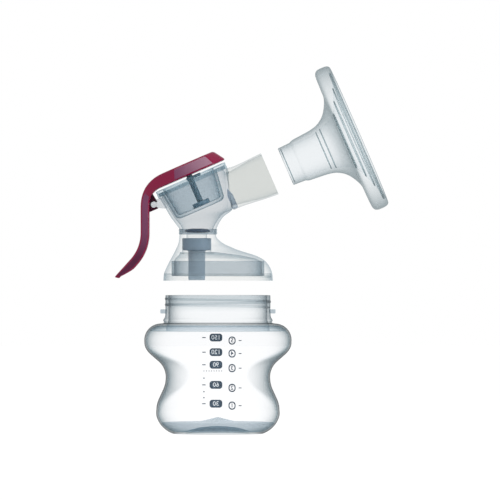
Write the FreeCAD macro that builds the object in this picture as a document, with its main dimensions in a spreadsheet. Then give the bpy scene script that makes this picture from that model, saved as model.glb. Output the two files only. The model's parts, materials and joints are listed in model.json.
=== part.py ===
"""Manual breast pump, taken apart: bottle below, pump head above it, funnel cup beside the head's tube.

Millimetres, +Z up, origin at the centre of the bottle's base. The pump is the same on both sides of the
XZ plane.
The head's tilted pieces are drawn in the head frame: u along the cup tube, v along the diaphragm's axis,
from the centre of the chamber's rim.
"""

import FreeCAD, Part
import Sketcher
import math
import os
import re
from FreeCAD import Rotation, Vector

# Driving sizes in millimetres and degrees: name, value, meaning.
SIZES = (
    # bottle
    ("bottle_height", 73.2, "base to lip"),
    ("bottle_wall", 1.4, "wall of the bottle"),
    ("base_radius", 23.6, "outer edge of the ring that the bottle stands on"),
    ("punt_radius", 17.5, "raised middle of the base"),
    ("punt_depth", 3.0, "rise of that middle"),
    ("base_round", 13.5, "round from the base to the side"),
    ("bulge_radius", 33.0, "side just above the base"),
    ("bulge_height", 12.6, "where the base round ends"),
    ("side_round", 150.0, "long curve of the side"),
    ("shoulder_radius", 38.85, "widest radius"),
    ("shoulder_height", 50.8, "height of the widest radius"),
    ("shoulder_round", 7.3, "round from the side to the top"),
    ("grip_waist", 27.6, "half width across the two grips"),
    ("grip_height", 29.9, "height of the waist"),
    ("grip_axis", 25.0, "offset of the axis that each grip is swept about"),
    ("grip_round_low", 16.0, "curve below the waist"),
    ("grip_lean_low", 24.6, "lean of the straight slope below that curve, off upright"),
    ("grip_round_high", 11.0, "curve above the waist"),
    ("grip_lean_high", 49.0, "lean of the straight slope above that curve, off upright"),
    ("grip_drop", 19.0, "end of the lower slope, outside the bottle, below the waist"),
    ("grip_rise", 16.5, "end of the upper slope, outside the bottle, above the waist"),
    ("neck_radius", 27.2, "outside of the neck between threads"),
    ("neck_wall", 1.3, "wall of the neck"),
    ("bead_height", 59.6, "underside of the bead"),
    ("bead_thick", 1.3, "height of the bead"),
    ("bead_reach", 1.7, "bead beyond the neck"),
    ("lug_height", 63.5, "underside of the two side lugs"),
    ("lug_thick", 2.3, "height of a lug"),
    ("lug_width", 5.0, "width of a lug"),
    ("lug_reach", 3.1, "lug beyond the neck"),
    ("thread_height", 66.6, "start of the neck's thread"),
    ("thread_rise", 4.6, "rise of the thread over its length"),
    ("thread_pitch", 3.15, "pitch"),
    ("thread_depth", 0.7, "crest beyond the neck"),
    ("thread_foot", 1.8, "width of the ridge at its foot"),
    ("thread_crest", 0.7, "width of the ridge at its crest"),
    ("thread_root", 0.4, "how far the ridge is rooted in the neck"),
    # pump head, upright parts, heights above the hood's lower edge
    ("head_gap", 7.7, "lip of the bottle to the hood, as laid out"),
    ("thread_clearance", 0.5, "thread's crest to the hood's bore"),
    ("hood_wall", 1.0, "wall of the hood's skirt"),
    ("hood_depth", 3.9, "skirt's bore up to the face that meets the lip"),
    ("hood_thread", 0.3, "hood's thread inwards from its bore"),
    ("plug_gap", 1.4, "neck's bore to the plug that centres it"),
    ("plug_wall", 1.2, "wall of the plug"),
    ("plug_drop", 2.2, "plug below the face that meets the lip"),
    ("shell_wall", 1.4, "wall of the head's mouldings"),
    ("dome_low_height", 8.1, "first section of the dome"),
    ("dome_low_inset", 3.2, "radius there, less than the skirt's outside by this"),
    ("dome_low_shift", 0.3, "towards the handle"),
    ("dome_mid_height", 13.6, "second section"),
    ("dome_mid_radius", 20.6, "radius there"),
    ("dome_mid_shift", 2.6, "towards the handle"),
    ("dome_high_height", 17.4, "third section"),
    ("dome_high_radius", 14.6, "radius there"),
    ("dome_high_shift", 6.8, "towards the handle"),
    ("roof_thick", 3.5, "roof of the dome beside the valve's column"),
    ("roof_back", 2.1, "shift of that roof away from the handle"),
    ("dome_top_height", 22.6, "top of the dome"),
    ("dome_top_radius", 9.6, "radius there"),
    ("column_shift", 11.2, "column's axis, towards the handle"),
    ("column_wall", 1.1, "wall of the valve socket"),
    ("socket_foot", 15.0, "lower end of the valve socket"),
    ("passage_radius", 5.4, "air passage above the valve"),
    ("ring_height", 24.3, "underside of the ring on the column"),
    ("ring_thick", 3.2, "height of the ring"),
    ("ring_radius", 10.0, "outside of the ring"),
    ("throat_radius", 9.7, "outside of the throat where it leaves the ring"),
    # valve
    ("valve_fit", 0.1, "valve's collar to its socket, radial"),
    ("collar_radius", 7.6, "valve's collar"),
    ("collar_foot", 16.0, "lower end of the valve's collar"),
    ("collar_length", 6.5, "height of the collar"),
    ("bill_width", 8.9, "width of the duckbill"),
    ("bill_foot", 0.3, "lips above the hood's lower edge"),
    ("lip_thick", 1.5, "thickness of the lips"),
    ("bill_wall", 1.1, "wall of the duckbill"),
    ("slit_height", 1.2, "lips closed below this, above their ends"),
    ("slit_gap", 0.2, "half height of the slit between the lips"),
    # head frame
    ("tilt", 23.5, "cup tube above the horizontal"),
    ("chamber_shift", 14.3, "centre of the rim, towards the handle"),
    ("chamber_height", 53.9, "centre of the rim above the hood's lower edge"),
    ("rim_radius", 19.9, "outside of the rim, with the diaphragm's lip on it"),
    ("lip_wall", 0.85, "diaphragm's lip round the rim"),
    ("lip_drop", 2.4, "lip below the rim's centre"),
    ("rim_fit", 0.06, "chamber's rim to the diaphragm's lip, radial"),
    ("rim_drop", 0.5, "top of the chamber's wall below the rim's centre"),
    ("flange_rise", 0.9, "top of the diaphragm's flange"),
    ("chamber_wall", 1.3, "wall of the chamber at its rim"),
    ("chamber_radius", 18.6, "outside of the chamber at its foot"),
    ("chamber_depth", 15.5, "rim's centre to the foot of the chamber"),
    # cup tube
    ("tube_drop", 14.2, "tube's axis below the rim's centre"),
    ("tube_start", 5.0, "inner end, inside the chamber"),
    ("tube_end", 39.3, "mouth"),
    ("tube_start_radius", 10.4, "outside at the inner end"),
    ("tube_end_radius", 11.8, "outside at the mouth"),
    ("tube_wall", 0.8, "wall of the tube at its mouth"),
    ("tube_split", 20.5, "face between chamber and tube"),
    ("tube_pass", 0.05, "how far the tube's bore is cut past its mouth"),
    # diaphragm
    ("cup_top_shift", 1.5, "diaphragm's cup off the rim's centre"),
    ("cup_top_radius", 15.9, "outside of the cup at its top"),
    ("cup_floor_shift", 1.5, "middle of the cup's floor, towards the handle"),
    ("cup_floor_radius", 13.7, "outside of the cup at its floor"),
    ("cup_depth", 17.1, "rim's centre to the underside of the floor"),
    ("cup_wall", 1.4, "wall of the cup"),
    ("cup_floor_wall", 1.7, "floor of the cup"),
    # hub and stem
    ("stem_along", -0.2, "stem's axis, along the tube from the rim's centre"),
    ("hub_radius", 4.7, "outside of the hub"),
    ("hub_thick", 2.4, "height of the hub"),
    ("hub_socket_gap", 1.0, "play round the stem's foot, which swings a little"),
    ("hub_floor", 0.7, "hub under the foot"),
    ("foot_gap", 0.3, "stem's foot to the hub's floor"),
    ("stem_radius", 1.6, "stem's rod"),
    ("stem_pin_rise", 4.4, "stem's pin above the rim's centre"),
    ("stem_pin_radius", 1.3, "cross pin at the rod's upper end"),
    ("stem_pin_length", 10.0, "length of the cross pin"),
    ("stem_plate_length", 8.0, "plate under the handle"),
    ("stem_plate_width", 7.0, "across the pump"),
    ("stem_plate_thick", 1.5, "thickness of the plate"),
    ("stem_plate_shift", 1.9, "plate's middle beyond the stem's axis"),
    ("stem_plate_drop", 0.8, "top of the plate below the handle"),
    # handle
    ("pivot_along", -23.4, "pivot bar from the rim's centre"),
    ("pivot_rise", -4.75, "pivot bar above the rim's centre"),
    ("pivot_radius", 1.6, "pivot bar"),
    ("pivot_fit", 0.05, "claw's bore round the bar, radial"),
    ("ear_gap", 12.0, "between the two ears"),
    ("ear_thick", 2.2, "thickness of an ear"),
    ("ear_round", 2.0, "ear round the bar"),
    ("ear_root_high", 2.6, "ear's root on the chamber, upper edge below the rim"),
    ("ear_root_low", 9.5, "ear's root on the chamber, lower edge below the rim"),
    ("cap_rise", 2.0, "underside of the handle's cap above the rim's centre"),
    ("cap_thick", 6.5, "thickness of the cap"),
    ("cap_front", 20.9, "front end, lower edge"),
    ("cap_slope", 4.3, "how far the front slopes back to the top"),
    ("cap_half_width", 17.5, "half width of the cap"),
    ("cap_nose", 10.0, "half width at the front end"),
    ("cap_nose_start", 13.5, "where the cap narrows to its nose"),
    ("cap_waist_start", -7.0, "where the cap narrows to the lever"),
    ("lever_start", -25.0, "where the lever has its own width"),
    ("lever_half_width", 9.0, "half width of the lever"),
    ("lever_thick", 4.7, "thickness of the lever"),
    ("lever_clearance", 0.25, "ear to the lever's inner face"),
    ("shoulder_bend", 19.5, "outer round between cap and lever"),
    ("inner_bend", 10.0, "inner round between cap and lever"),
    ("lever_straight", 14.7, "pivot down to the start of the lower bend"),
    ("lever_bend", 21.5, "outer round of the lower bend"),
    ("lever_turn", 42.0, "how far the tail turns outwards"),
    ("lever_tail", 12.5, "straight tail"),
    ("tip_slant", 1.8, "how much shorter the tail's inner side is"),
    ("claw_width", 11.0, "width of the claw across the pump"),
    ("claw_mouth", 2.5, "opening that snaps over the bar"),
    ("claw_tip", 0.6, "lower jaw beyond the bar's bore"),
    ("claw_jaw", 0.25, "wall of the jaws at the mouth"),
    ("claw_bevel", 0.95, "bevel of the claw's upper end"),
    ("claw_overlap", 1.6, "how deep the claw is rooted in the lever"),
    ("claw_foot", 4.6, "claw's root on the lever, below the bar"),
    ("claw_head", 6.05, "claw's root on the lever, above the bar"),
    ("slot_play", 0.6, "handle's slot beyond the stem's rod and pin"),
    ("slot_swing", 1.0, "more length for the rod's swing"),
    # funnel cup, lengths from the tube's mouth
    ("cup_gap", 9.2, "tube's mouth to the cup, as laid out"),
    ("stub_fit", 0.08, "cup's seat to the tube's bore, radial"),
    ("seat_length", 7.0, "seat that goes into the tube"),
    ("seat_taper", 0.35, "how much thinner the seat's end is"),
    ("stub_radius", 11.7, "stub beyond the seat"),
    ("stub_bore", 9.3, "inside of the stub"),
    ("stub_length", 20.7, "end of the cup to the foot of the flare"),
    ("flare_foot_radius", 12.6, "stub where it meets the flare"),
    ("flare_length", 11.0, "foot of the flare to the flange"),
    ("flare_radius", 22.5, "where the flare meets the flange"),
    ("flare_round", 13.5, "curve of the flare"),
    ("flange_back", 33.4, "end of the cup to the back of the flange"),
    ("flange_blend", 28.0, "radius where the back of the flange is flat"),
    ("flange_radius", 40.4, "outside of the flange"),
    ("flange_thick", 8.9, "thickness of the flange"),
    ("flange_land", 6.9, "edge of the flange to the edge of the bowl in the front face"),
    ("throat_length", 33.9, "end of the cup to the foot of the bowl"),
    ("bowl_foot_radius", 15.0, "edge between bowl and bore"),
    ("throat_start", 21.5, "end of the cup to where the bore starts to open"),
    ("throat_start_radius", 10.0, "bore where it starts to open"),
    ("throat_round", 17.0, "curve of the bore as it opens"),
)

# Sizes that follow from the ones above.
DERIVED = (
    ("hood_height", "bottle_height + head_gap"),
    ("chamber_z", "hood_height + chamber_height"),
    ("hood_bore", "neck_radius + thread_depth + thread_clearance"),
    ("hood_radius", "hood_bore + hood_wall"),
    ("dome_low_radius", "hood_radius - dome_low_inset"),
    ("plug_radius", "neck_radius - neck_wall - plug_gap"),
    ("shoulder_top", "shoulder_height + shoulder_round"),
    ("socket_radius", "collar_radius + valve_fit"),
    ("column_radius", "socket_radius + column_wall"),
    ("cap_top", "cap_rise + cap_thick"),
    ("cup_start", "tube_end + cup_gap"),
    ("tube_bore", "tube_end_radius - tube_wall"),
    ("bowl_radius", "flange_radius - flange_land"),
    ("pivot_x", "pivot_along * cos(tilt) - pivot_rise * sin(tilt)"),
    ("pivot_z", "pivot_along * sin(tilt) + pivot_rise * cos(tilt)"),
    ("lever_in", "pivot_x - ear_round - lever_clearance"),
    ("lever_out", "lever_in - lever_thick"),
    ("shoulder_half", "(90 - tilt) / 2"),
    ("tangent_out", "shoulder_bend * tan(shoulder_half)"),
    ("tangent_in", "inner_bend * tan(shoulder_half)"),
    ("corner_out_z", "(cap_top + lever_out * sin(tilt)) / cos(tilt)"),
    ("corner_in_z", "(cap_rise + lever_in * sin(tilt)) / cos(tilt)"),
    ("bend_z", "pivot_z - lever_straight"),
    ("bend_x", "lever_out - lever_bend"),
    ("lever_bend_in", "lever_bend + lever_thick"),
    ("foot_rise", "cup_floor_wall + hub_floor + foot_gap - cup_depth"),
)


CLEAR = 0.5  # how far a cutting tool passes the face that it opens
FAR = 60.0  # reach of the blocks that part the head's mouldings

document = FreeCAD.newDocument("breast_pump")
sheet = document.addObject("Spreadsheet::Sheet", "Sizes")


def fill_sheet():
    """Name in column A, number or formula in column B under that name."""
    rows = [(name, str(number)) for name, number, meaning in SIZES]
    rows += [(name, "=" + formula) for name, formula in DERIVED]
    for row, (name, content) in enumerate(rows, 1):
        sheet.set(f"A{row}", name)
        sheet.set(f"B{row}", content)
        sheet.setAlias(f"B{row}", name)
    document.recompute()
    return re.compile(r"\b(" + "|".join(name for name, content in rows) + r")\b")


NAMES = fill_sheet()


def bound(text):
    """An expression over the sheet's names, as objects outside the sheet write it."""
    return NAMES.sub(r"Sizes.\1", text)


def value(text):
    result = sheet.evalExpression(bound(text))
    return float(getattr(result, "Value", result))


def bind(thing, **sizes):
    """Tie each property to an expression over the sheet's names."""
    for name, text in sizes.items():
        thing.setExpression(name, bound(text))


def upright(thing, height="0", shift="0"):
    """Stand a piece of the head at a height above the hood's lower edge, shifted towards the handle."""
    thing.setExpression(".Placement.Base.x", bound(f"-({shift})"))
    thing.setExpression(".Placement.Base.z", bound(f"hood_height + ({height})"))
    return thing


def tilted(thing, along="0", rise="0", turn="tilt", axis=Vector(0, -1, 0)):
    """Place a piece in the head frame; its own X runs along the cup tube unless it is turned otherwise."""
    thing.Placement = FreeCAD.Placement(Vector(), Rotation(axis, value(turn)))
    east = f"-chamber_shift + ({along}) * cos(tilt) - ({rise}) * sin(tilt)"
    up = f"chamber_z + ({along}) * sin(tilt) + ({rise}) * cos(tilt)"
    thing.setExpression(".Placement.Base.x", bound(east))
    thing.setExpression(".Placement.Base.z", bound(up))
    thing.setExpression(".Placement.Rotation.Angle", bound(turn))
    return thing


def along_tube(thing, along):
    """Lay a piece whose axis is its own Z along the cup tube's axis."""
    return tilted(thing, along, "-tube_drop", "90 - tilt", Vector(0, 1, 0))


def cylinder(name, radius, height):
    piece = document.addObject("Part::Cylinder", name)
    bind(piece, Radius=radius, Height=height)
    return piece


def cone(name, foot, top, height):
    piece = document.addObject("Part::Cone", name)
    bind(piece, Radius1=foot, Radius2=top, Height=height)
    return piece


def box(name, length, width, height):
    piece = document.addObject("Part::Box", name)
    bind(piece, Length=length, Width=width, Height=height)
    return piece


def loft(name, sections, ruled=False):
    """A solid through closed curves."""
    piece = document.addObject("Part::Loft", name)
    piece.Sections = sections
    piece.Solid = True
    piece.Ruled = ruled
    return piece


def circle(name, radius):
    ring = document.addObject("Part::Circle", name)
    bind(ring, Radius=radius)
    return ring


def ellipse(name, major, minor):
    ring = document.addObject("Part::Ellipse", name)
    bind(ring, MajorRadius=major, MinorRadius=minor)
    return ring


def fuse(name, pieces):
    joined = document.addObject("Part::MultiFuse", name)
    joined.Shapes = pieces
    return joined


def cut(name, base, tool):
    rest = document.addObject("Part::Cut", name)
    rest.Base = base
    rest.Tool = tool
    return rest


def common(name, pieces):
    shared = document.addObject("Part::MultiCommon", name)
    shared.Shapes = pieces
    return shared


def origin_part(body, role):
    return next(part for part in body.Origin.OriginFeatures if part.Role == role)


def arc_between(start, end, radius, side):
    """The short arc whose centre is on the left (side 1) or right (side -1) of the way from start to end."""
    way = end - start
    left = Vector(-way.y, way.x, 0) / way.Length
    rise = math.sqrt(max(radius**2 - way.Length**2 / 4, 0))
    centre = (start + end) / 2 + left * rise * side
    return Part.Arc(start, centre - left * radius * side, end)


def empty_sketch(body, name, role):
    sketch = body.newObject("Sketcher::SketchObject", name)
    sketch.AttachmentSupport = [(origin_part(body, role), "")]
    sketch.MapMode = "FlatFace"
    return sketch


def near_end(sketch, edge, point):
    """1 if the edge starts at the point, 2 if it ends there."""
    first = (sketch.getPoint(edge, 1) - point).Length
    last = (sketch.getPoint(edge, 2) - point).Length
    return 1 if first < last else 2


def add_outline(sketch, corners):
    """A closed outline. A corner is (x, y), or (x, y, radius, side) where an arc leads on from it."""
    points = [Vector(value(corner[0]), value(corner[1]), 0) for corner in corners]
    first = sketch.GeometryCount
    count = len(corners)
    for number, corner in enumerate(corners):
        start, end = points[number], points[(number + 1) % count]
        if len(corner) == 4:
            edge = arc_between(start, end, value(corner[2]), corner[3])
        else:
            edge = Part.LineSegment(start, end)
        sketch.addGeometry(edge, False)
    for number, corner in enumerate(corners):
        edge, before = first + number, first + (number - 1) % count
        here = near_end(sketch, edge, points[number])
        there = near_end(sketch, before, points[number])
        sketch.addConstraint(Sketcher.Constraint("Coincident", before, there, edge, here))
        for kind, text, place in (
            ("DistanceX", corner[0], points[number].x),
            ("DistanceY", corner[1], points[number].y),
        ):
            made = sketch.addConstraint(Sketcher.Constraint(kind, -1, 1, edge, here, place))
            sketch.setExpression(f"Constraints[{made}]", bound(text))
        if len(corner) == 4:
            size = value(corner[2])
            made = sketch.addConstraint(Sketcher.Constraint("Radius", edge, size))
            sketch.setExpression(f"Constraints[{made}]", bound(corner[2]))


def outline(body, name, corners, role="XZ_Plane"):
    sketch = empty_sketch(body, name, role)
    add_outline(sketch, corners)
    return sketch


def add_circle(sketch, east, north, radius):
    middle = Vector(value(east), value(north), 0)
    edge = sketch.addGeometry(Part.Circle(middle, Vector(0, 0, 1), value(radius)), False)
    for kind, text, place in (("DistanceX", east, middle.x), ("DistanceY", north, middle.y)):
        made = sketch.addConstraint(Sketcher.Constraint(kind, -1, 1, edge, 3, place))
        sketch.setExpression(f"Constraints[{made}]", bound(text))
    made = sketch.addConstraint(Sketcher.Constraint("Radius", edge, value(radius)))
    sketch.setExpression(f"Constraints[{made}]", bound(radius))


def new_body(name):
    return document.addObject("PartDesign::Body", name)


def turn(body, sketch, role="Z_Axis", kind="PartDesign::Revolution"):
    feature = body.newObject(kind, sketch.Name + "_turned")
    feature.Profile = sketch
    feature.ReferenceAxis = (origin_part(body, role), [""])
    feature.Angle = 360
    return feature


def both_ways(body, sketch, length, kind="PartDesign::Pad"):
    """Pad or pocket a sketch by the same amount on both sides of its plane."""
    feature = body.newObject(kind, sketch.Name + "_through")
    feature.Profile = sketch
    feature.Midplane = True
    feature.setExpression("Length", bound(length))
    return feature


def rectangle(west, east, south, north):
    return [(west, south), (east, south), (east, north), (west, north)]


def coil(body, name, corners, pitch, height):
    """A ridge or groove of the given section, wound about the body's Z axis."""
    section = outline(body, name, corners)
    ridge = body.newObject("PartDesign::AdditiveHelix", name + "_coil")
    ridge.Profile = section
    ridge.ReferenceAxis = (origin_part(body, "Z_Axis"), [""])
    ridge.Mode = "pitch-height-angle"
    bind(ridge, Pitch=pitch, Height=height)
    return ridge


# ---------------------------------------------------------------- bottle


def grip_section(side, shell):
    """What one grip takes away: beyond two straight slopes that meet in a round waist."""
    low = f"(grip_round_low + {shell})"
    high = f"(grip_round_high + {shell})"
    waist = f"(grip_waist - {shell})"
    low_x = f"{waist} + {low} * (1 - cos(grip_lean_low))"
    high_x = f"{waist} + {high} * (1 - cos(grip_lean_high))"
    foot = f"{low_x} + (grip_drop - {low} * sin(grip_lean_low)) * tan(grip_lean_low)"
    head = f"{high_x} + (grip_rise - {high} * sin(grip_lean_high)) * tan(grip_lean_high)"
    beyond = "2 * shoulder_radius"
    corners = [
        (foot, "grip_height - grip_drop"),
        (beyond, "grip_height - grip_drop"),
        (beyond, "grip_height + grip_rise"),
        (head, "grip_height + grip_rise"),
        (high_x, f"grip_height + {high} * sin(grip_lean_high)", high, 1),
        (waist, "grip_height", low, 1),
        (low_x, f"grip_height - {low} * sin(grip_lean_low)"),
    ]
    if side > 0:
        return corners
    return [(f"-({x})", z, *((arc[0], -1) if arc else ())) for x, z, *arc in corners]


def vessel(name, shell, neck):
    """The bottle's outside (shell 0) or its inside (shell = wall): a turned form with two swept grips."""
    body = new_body(name)
    dome = "(punt_radius^2 + punt_depth^2) / (2 * punt_depth)"
    side = [
        ("0", f"punt_depth + {shell}", dome, -1),
        ("punt_radius", shell),
        ("base_radius", shell, f"base_round - {shell}", 1),
        (f"bulge_radius - {shell}", "bulge_height", "side_round", 1),
        (f"shoulder_radius - {shell}", "shoulder_height", f"shoulder_round - {shell}", 1),
        ("shoulder_radius - shoulder_round", f"shoulder_top - {shell}"),
    ]
    turn(body, outline(body, name + "_side", side + neck))
    for word, way in (("right", 1), ("left", -1)):
        section = outline(body, f"{name}_grip_{word}", grip_section(way, shell))
        axis = f"{-way} * grip_axis"
        low_end, high_end = Vector(value(axis), 0, 0), Vector(value(axis), value("bottle_height"), 0)
        line = section.addGeometry(Part.LineSegment(low_end, high_end), True)
        section.addConstraint(Sketcher.Constraint("Vertical", line))
        made = section.addConstraint(Sketcher.Constraint("DistanceX", -1, 1, line, 1, value(axis)))
        section.setExpression(f"Constraints[{made}]", bound(axis))
        grip = body.newObject("PartDesign::Groove", f"{name}_grip_{word}_swept")
        grip.Profile = section
        grip.ReferenceAxis = (section, ["Axis0"])
        grip.Angle = 360
    return body


def make_bottle():
    bead_top = "bead_height + bead_thick"
    neck = [
        ("neck_radius", "shoulder_top"),
        ("neck_radius", "bead_height"),
        ("neck_radius + bead_reach", "bead_height"),
        ("neck_radius + bead_reach", bead_top),
        ("neck_radius", bead_top),
        ("neck_radius", "bottle_height"),
        ("0", "bottle_height"),
    ]
    outside = vessel("bottle_outside", "0", neck)
    root = "neck_radius - thread_root"
    crest = "neck_radius + thread_depth"
    ridge = [
        (root, "thread_height - thread_foot / 2"),
        (crest, "thread_height - thread_crest / 2"),
        (crest, "thread_height + thread_crest / 2"),
        (root, "thread_height + thread_foot / 2"),
    ]
    coil(outside, "neck_thread", ridge, "thread_pitch", "thread_rise")
    bore = "neck_radius - neck_wall"
    mouth = [
        (bore, "shoulder_top - bottle_wall"),
        (bore, f"bottle_height + {CLEAR}"),
        ("0", f"bottle_height + {CLEAR}"),
    ]
    inside = vessel("bottle_inside", "bottle_wall", mouth)
    lugs = box("lugs", "2 * (neck_radius + lug_reach)", "lug_width", "lug_thick")
    bind(lugs, **{".Placement.Base.x": "-(neck_radius + lug_reach)"})
    bind(lugs, **{".Placement.Base.y": "-lug_width / 2", ".Placement.Base.z": "lug_height"})
    return cut("bottle", fuse("bottle_solid", [outside, lugs]), inside)


# ---------------------------------------------------------------- pump head


def dome_section(word, inset="0", drop="0", back="0"):
    """A circle of the dome, which leans from the bottle's axis to the column's."""
    ring = circle("dome_section", f"dome_{word}_radius - {inset}")
    return upright(ring, f"dome_{word}_height - {drop}", f"dome_{word}_shift - {back}")


def throat(name, shell):
    """From the ring on the column up to the foot of the chamber."""
    foot = circle(name + "_foot", f"throat_radius - {shell}")
    upright(foot, "ring_height + ring_thick", "column_shift")
    head = tilted(circle(name + "_head", f"chamber_radius - {shell}"), rise="-chamber_depth")
    return loft(name, [foot, head], ruled=True)


def head_outside():
    """Hood, column, ring, throat, chamber, rim and cup tube, before they are hollowed."""
    skirt = [
        upright(circle("skirt_foot", "hood_radius")),
        upright(circle("skirt_top", "hood_radius"), "hood_depth"),
    ]
    top = upright(circle("dome_top", "dome_top_radius"), "dome_top_height", "column_shift")
    column = cylinder("column", "column_radius", "ring_height - socket_foot")
    ring = cylinder("ring", "ring_radius", "ring_thick")
    return [
        loft("skirt", skirt),
        loft("dome", [skirt[1], dome_section("low"), dome_section("mid"), dome_section("high"), top]),
        upright(column, "socket_foot", "column_shift"),
        upright(ring, "ring_height", "column_shift"),
        throat("throat_outside", "0"),
        tilted(
            cone("chamber_wall", "chamber_radius", "rim_radius", "chamber_depth - lip_drop"),
            rise="-chamber_depth",
        ),
        tilted(
            cylinder("rim", "rim_radius - lip_wall - rim_fit", "lip_drop - rim_drop"),
            rise="-lip_drop",
        ),
        along_tube(
            cone("tube_wall", "tube_start_radius", "tube_end_radius", "tube_end - tube_start"),
            "tube_start",
        ),
    ]


def head_inside():
    """Everything hollow in the head: skirt's bore, plug, dome, valve socket, throat, chamber and tube."""
    bore = cylinder("skirt_bore", "hood_bore", f"hood_depth + {CLEAR}")
    plug = cylinder("plug_bore", "plug_radius - plug_wall", f"dome_low_height + {CLEAR}")
    low = upright(circle("hollow_low", "plug_radius - plug_wall"), "dome_low_height", "dome_low_shift")
    mid = dome_section("mid", "shell_wall", "shell_wall / 2")
    high = dome_section("high", "roof_thick", "shell_wall / 2", "roof_back")
    hollow = loft("dome_hollow", [low, mid, high])
    column = cylinder("socket_wall", "column_radius", "ring_height - socket_foot")
    socket_top = "collar_foot + collar_length"
    socket = cylinder("valve_socket", "socket_radius", f"{socket_top} - socket_foot + {CLEAR}")
    passage = cylinder("passage", "passage_radius", f"ring_height + ring_thick - {socket_top} + {CLEAR}")
    return [
        upright(bore, f"-{CLEAR}"),
        upright(plug, f"-{CLEAR}"),
        cut("dome_room", hollow, upright(column, "socket_foot", "column_shift")),
        upright(socket, f"socket_foot - {CLEAR}", "column_shift"),
        upright(passage, socket_top, "column_shift"),
        throat("throat_inside", "shell_wall"),
        tilted(
            cone(
                "chamber_room",
                "chamber_radius - shell_wall",
                "rim_radius - lip_wall - chamber_wall",
                f"chamber_depth + {CLEAR}",
            ),
            rise="-chamber_depth",
        ),
        along_tube(
            cone(
                "tube_room",
                "tube_start_radius - shell_wall",
                "tube_end_radius - tube_wall",
                "tube_end - tube_start + tube_pass",
            ),
            "tube_start",
        ),
    ]


def make_ears():
    """Two plates that hold the pivot bar off the chamber's wall."""
    body = tilted(new_body("ears"))
    root = "-(chamber_radius - shell_wall)"
    plate = [
        ("pivot_along", "pivot_rise + ear_round", "ear_round", 1),
        ("pivot_along - ear_round", "pivot_rise", "ear_round", 1),
        ("pivot_along", "pivot_rise - ear_round"),
        (root, "-ear_root_low"),
        (root, "-ear_root_high"),
    ]
    both_ways(body, outline(body, "ear_plate", plate), "ear_gap + 2 * ear_thick")
    between = rectangle("2 * pivot_along", "0", "3 * pivot_rise", "-pivot_rise")
    both_ways(body, outline(body, "ear_space", between), "ear_gap", "PartDesign::Pocket")
    return body


def make_head():
    """One clear moulding, parted on flat faces into hood, chamber and cup tube."""
    outside = fuse("head_outside", head_outside() + [make_ears()])
    whole = cut("head_moulding", outside, fuse("head_inside", head_inside()))
    plug = cut(
        "plug",
        upright(cylinder("plug_outside", "plug_radius", "plug_drop + hood_depth"), "hood_depth - plug_drop"),
        upright(cylinder("plug_inside", "plug_radius - plug_wall", "plug_drop + 2 * hood_depth"), "0"),
    )
    below = box("below_ring", f"2 * {FAR}", f"2 * {FAR}", "ring_height")
    bind(below, **{".Placement.Base.x": f"-{FAR}", ".Placement.Base.y": f"-{FAR}"})
    bind(below, **{".Placement.Base.z": "hood_height"})
    beyond = tilted(box("beyond_split", f"{FAR}", f"2 * {FAR}", f"2 * {FAR}"), "tube_split", f"-{FAR}")
    bind(beyond, **{".Placement.Base.y": f"-{FAR}"})
    ridge = upright(new_body("hood_thread_body"))
    deep = "hood_bore - hood_thread"
    section = [
        ("hood_bore + hood_wall / 2", "thread_foot / 2"),
        ("hood_bore + hood_wall / 2", "3 * thread_foot / 2"),
        (deep, "thread_foot + thread_crest / 2"),
        (deep, "thread_foot - thread_crest / 2"),
    ]
    coil(ridge, "hood_ridge", section, "thread_pitch", "hood_depth - 2 * thread_foot + thread_crest")
    hood_solid = common("hood_solid", [whole, below])
    hood = fuse("hood", [hood_solid, plug, ridge])
    upper = cut("head_upper", whole, below)
    chamber = cut("chamber", upper, beyond)
    tube = common("cup_tube", [upper, beyond])
    return [hood, chamber, tube]


def make_pivot_bar():
    bar = cylinder("pivot_bar", "pivot_radius", "ear_gap")
    tilted(bar, "pivot_along", "pivot_rise", "90", Vector(-1, 0, 0))
    bind(bar, **{".Placement.Base.y": "-ear_gap / 2"})
    return bar


def make_valve():
    """Collar in its socket over a duckbill that runs out to two flat lips."""
    collar = upright(cylinder("collar", "collar_radius", "collar_length"), "collar_foot", "column_shift")
    bill_top = upright(circle("bill_top", "bill_width / 2"), "collar_foot", "column_shift")
    bill_lips = upright(ellipse("bill_lips", "bill_width / 2", "lip_thick / 2"), "bill_foot", "column_shift")
    outside = fuse("valve_solid", [collar, loft("bill", [bill_lips, bill_top])])
    room = "bill_width / 2 - bill_wall"
    room_top = upright(circle("room_top", room), f"collar_foot + collar_length + {CLEAR}", "column_shift")
    room_mid = upright(circle("room_mid", room), "collar_foot", "column_shift")
    slit = upright(ellipse("slit", room, "slit_gap"), "bill_foot + slit_height", "column_shift")
    inside = fuse("valve_room", [loft("room_high", [room_mid, room_top]), loft("room_low", [slit, room_mid])])
    return cut("valve", outside, inside)


def make_diaphragm():
    """A flange that grips the chamber's rim, and a deep cup below it, a little nearer to the handle."""
    flange = tilted(cylinder("flange", "rim_radius", "lip_drop + flange_rise"), rise="-lip_drop")
    seat = tilted(cylinder("rim_seat", "rim_radius - lip_wall", "lip_drop - rim_drop"), rise="-lip_drop")
    top = tilted(circle("cup_top", "cup_top_radius"), "-cup_top_shift", "-rim_drop")
    floor = tilted(circle("cup_floor", "cup_floor_radius"), "-cup_floor_shift", "-cup_depth")
    solid = fuse("diaphragm_solid", [cut("flange_lip", flange, seat), loft("cup_outside", [floor, top])])
    mouth = tilted(circle("mouth", "cup_top_radius - cup_wall"), "-cup_top_shift", f"flange_rise + {CLEAR}")
    bottom = circle("bottom", "cup_floor_radius - cup_wall")
    tilted(bottom, "-cup_floor_shift", "cup_floor_wall - cup_depth")
    return cut("diaphragm", solid, loft("cup_inside", [bottom, mouth]))


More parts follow.
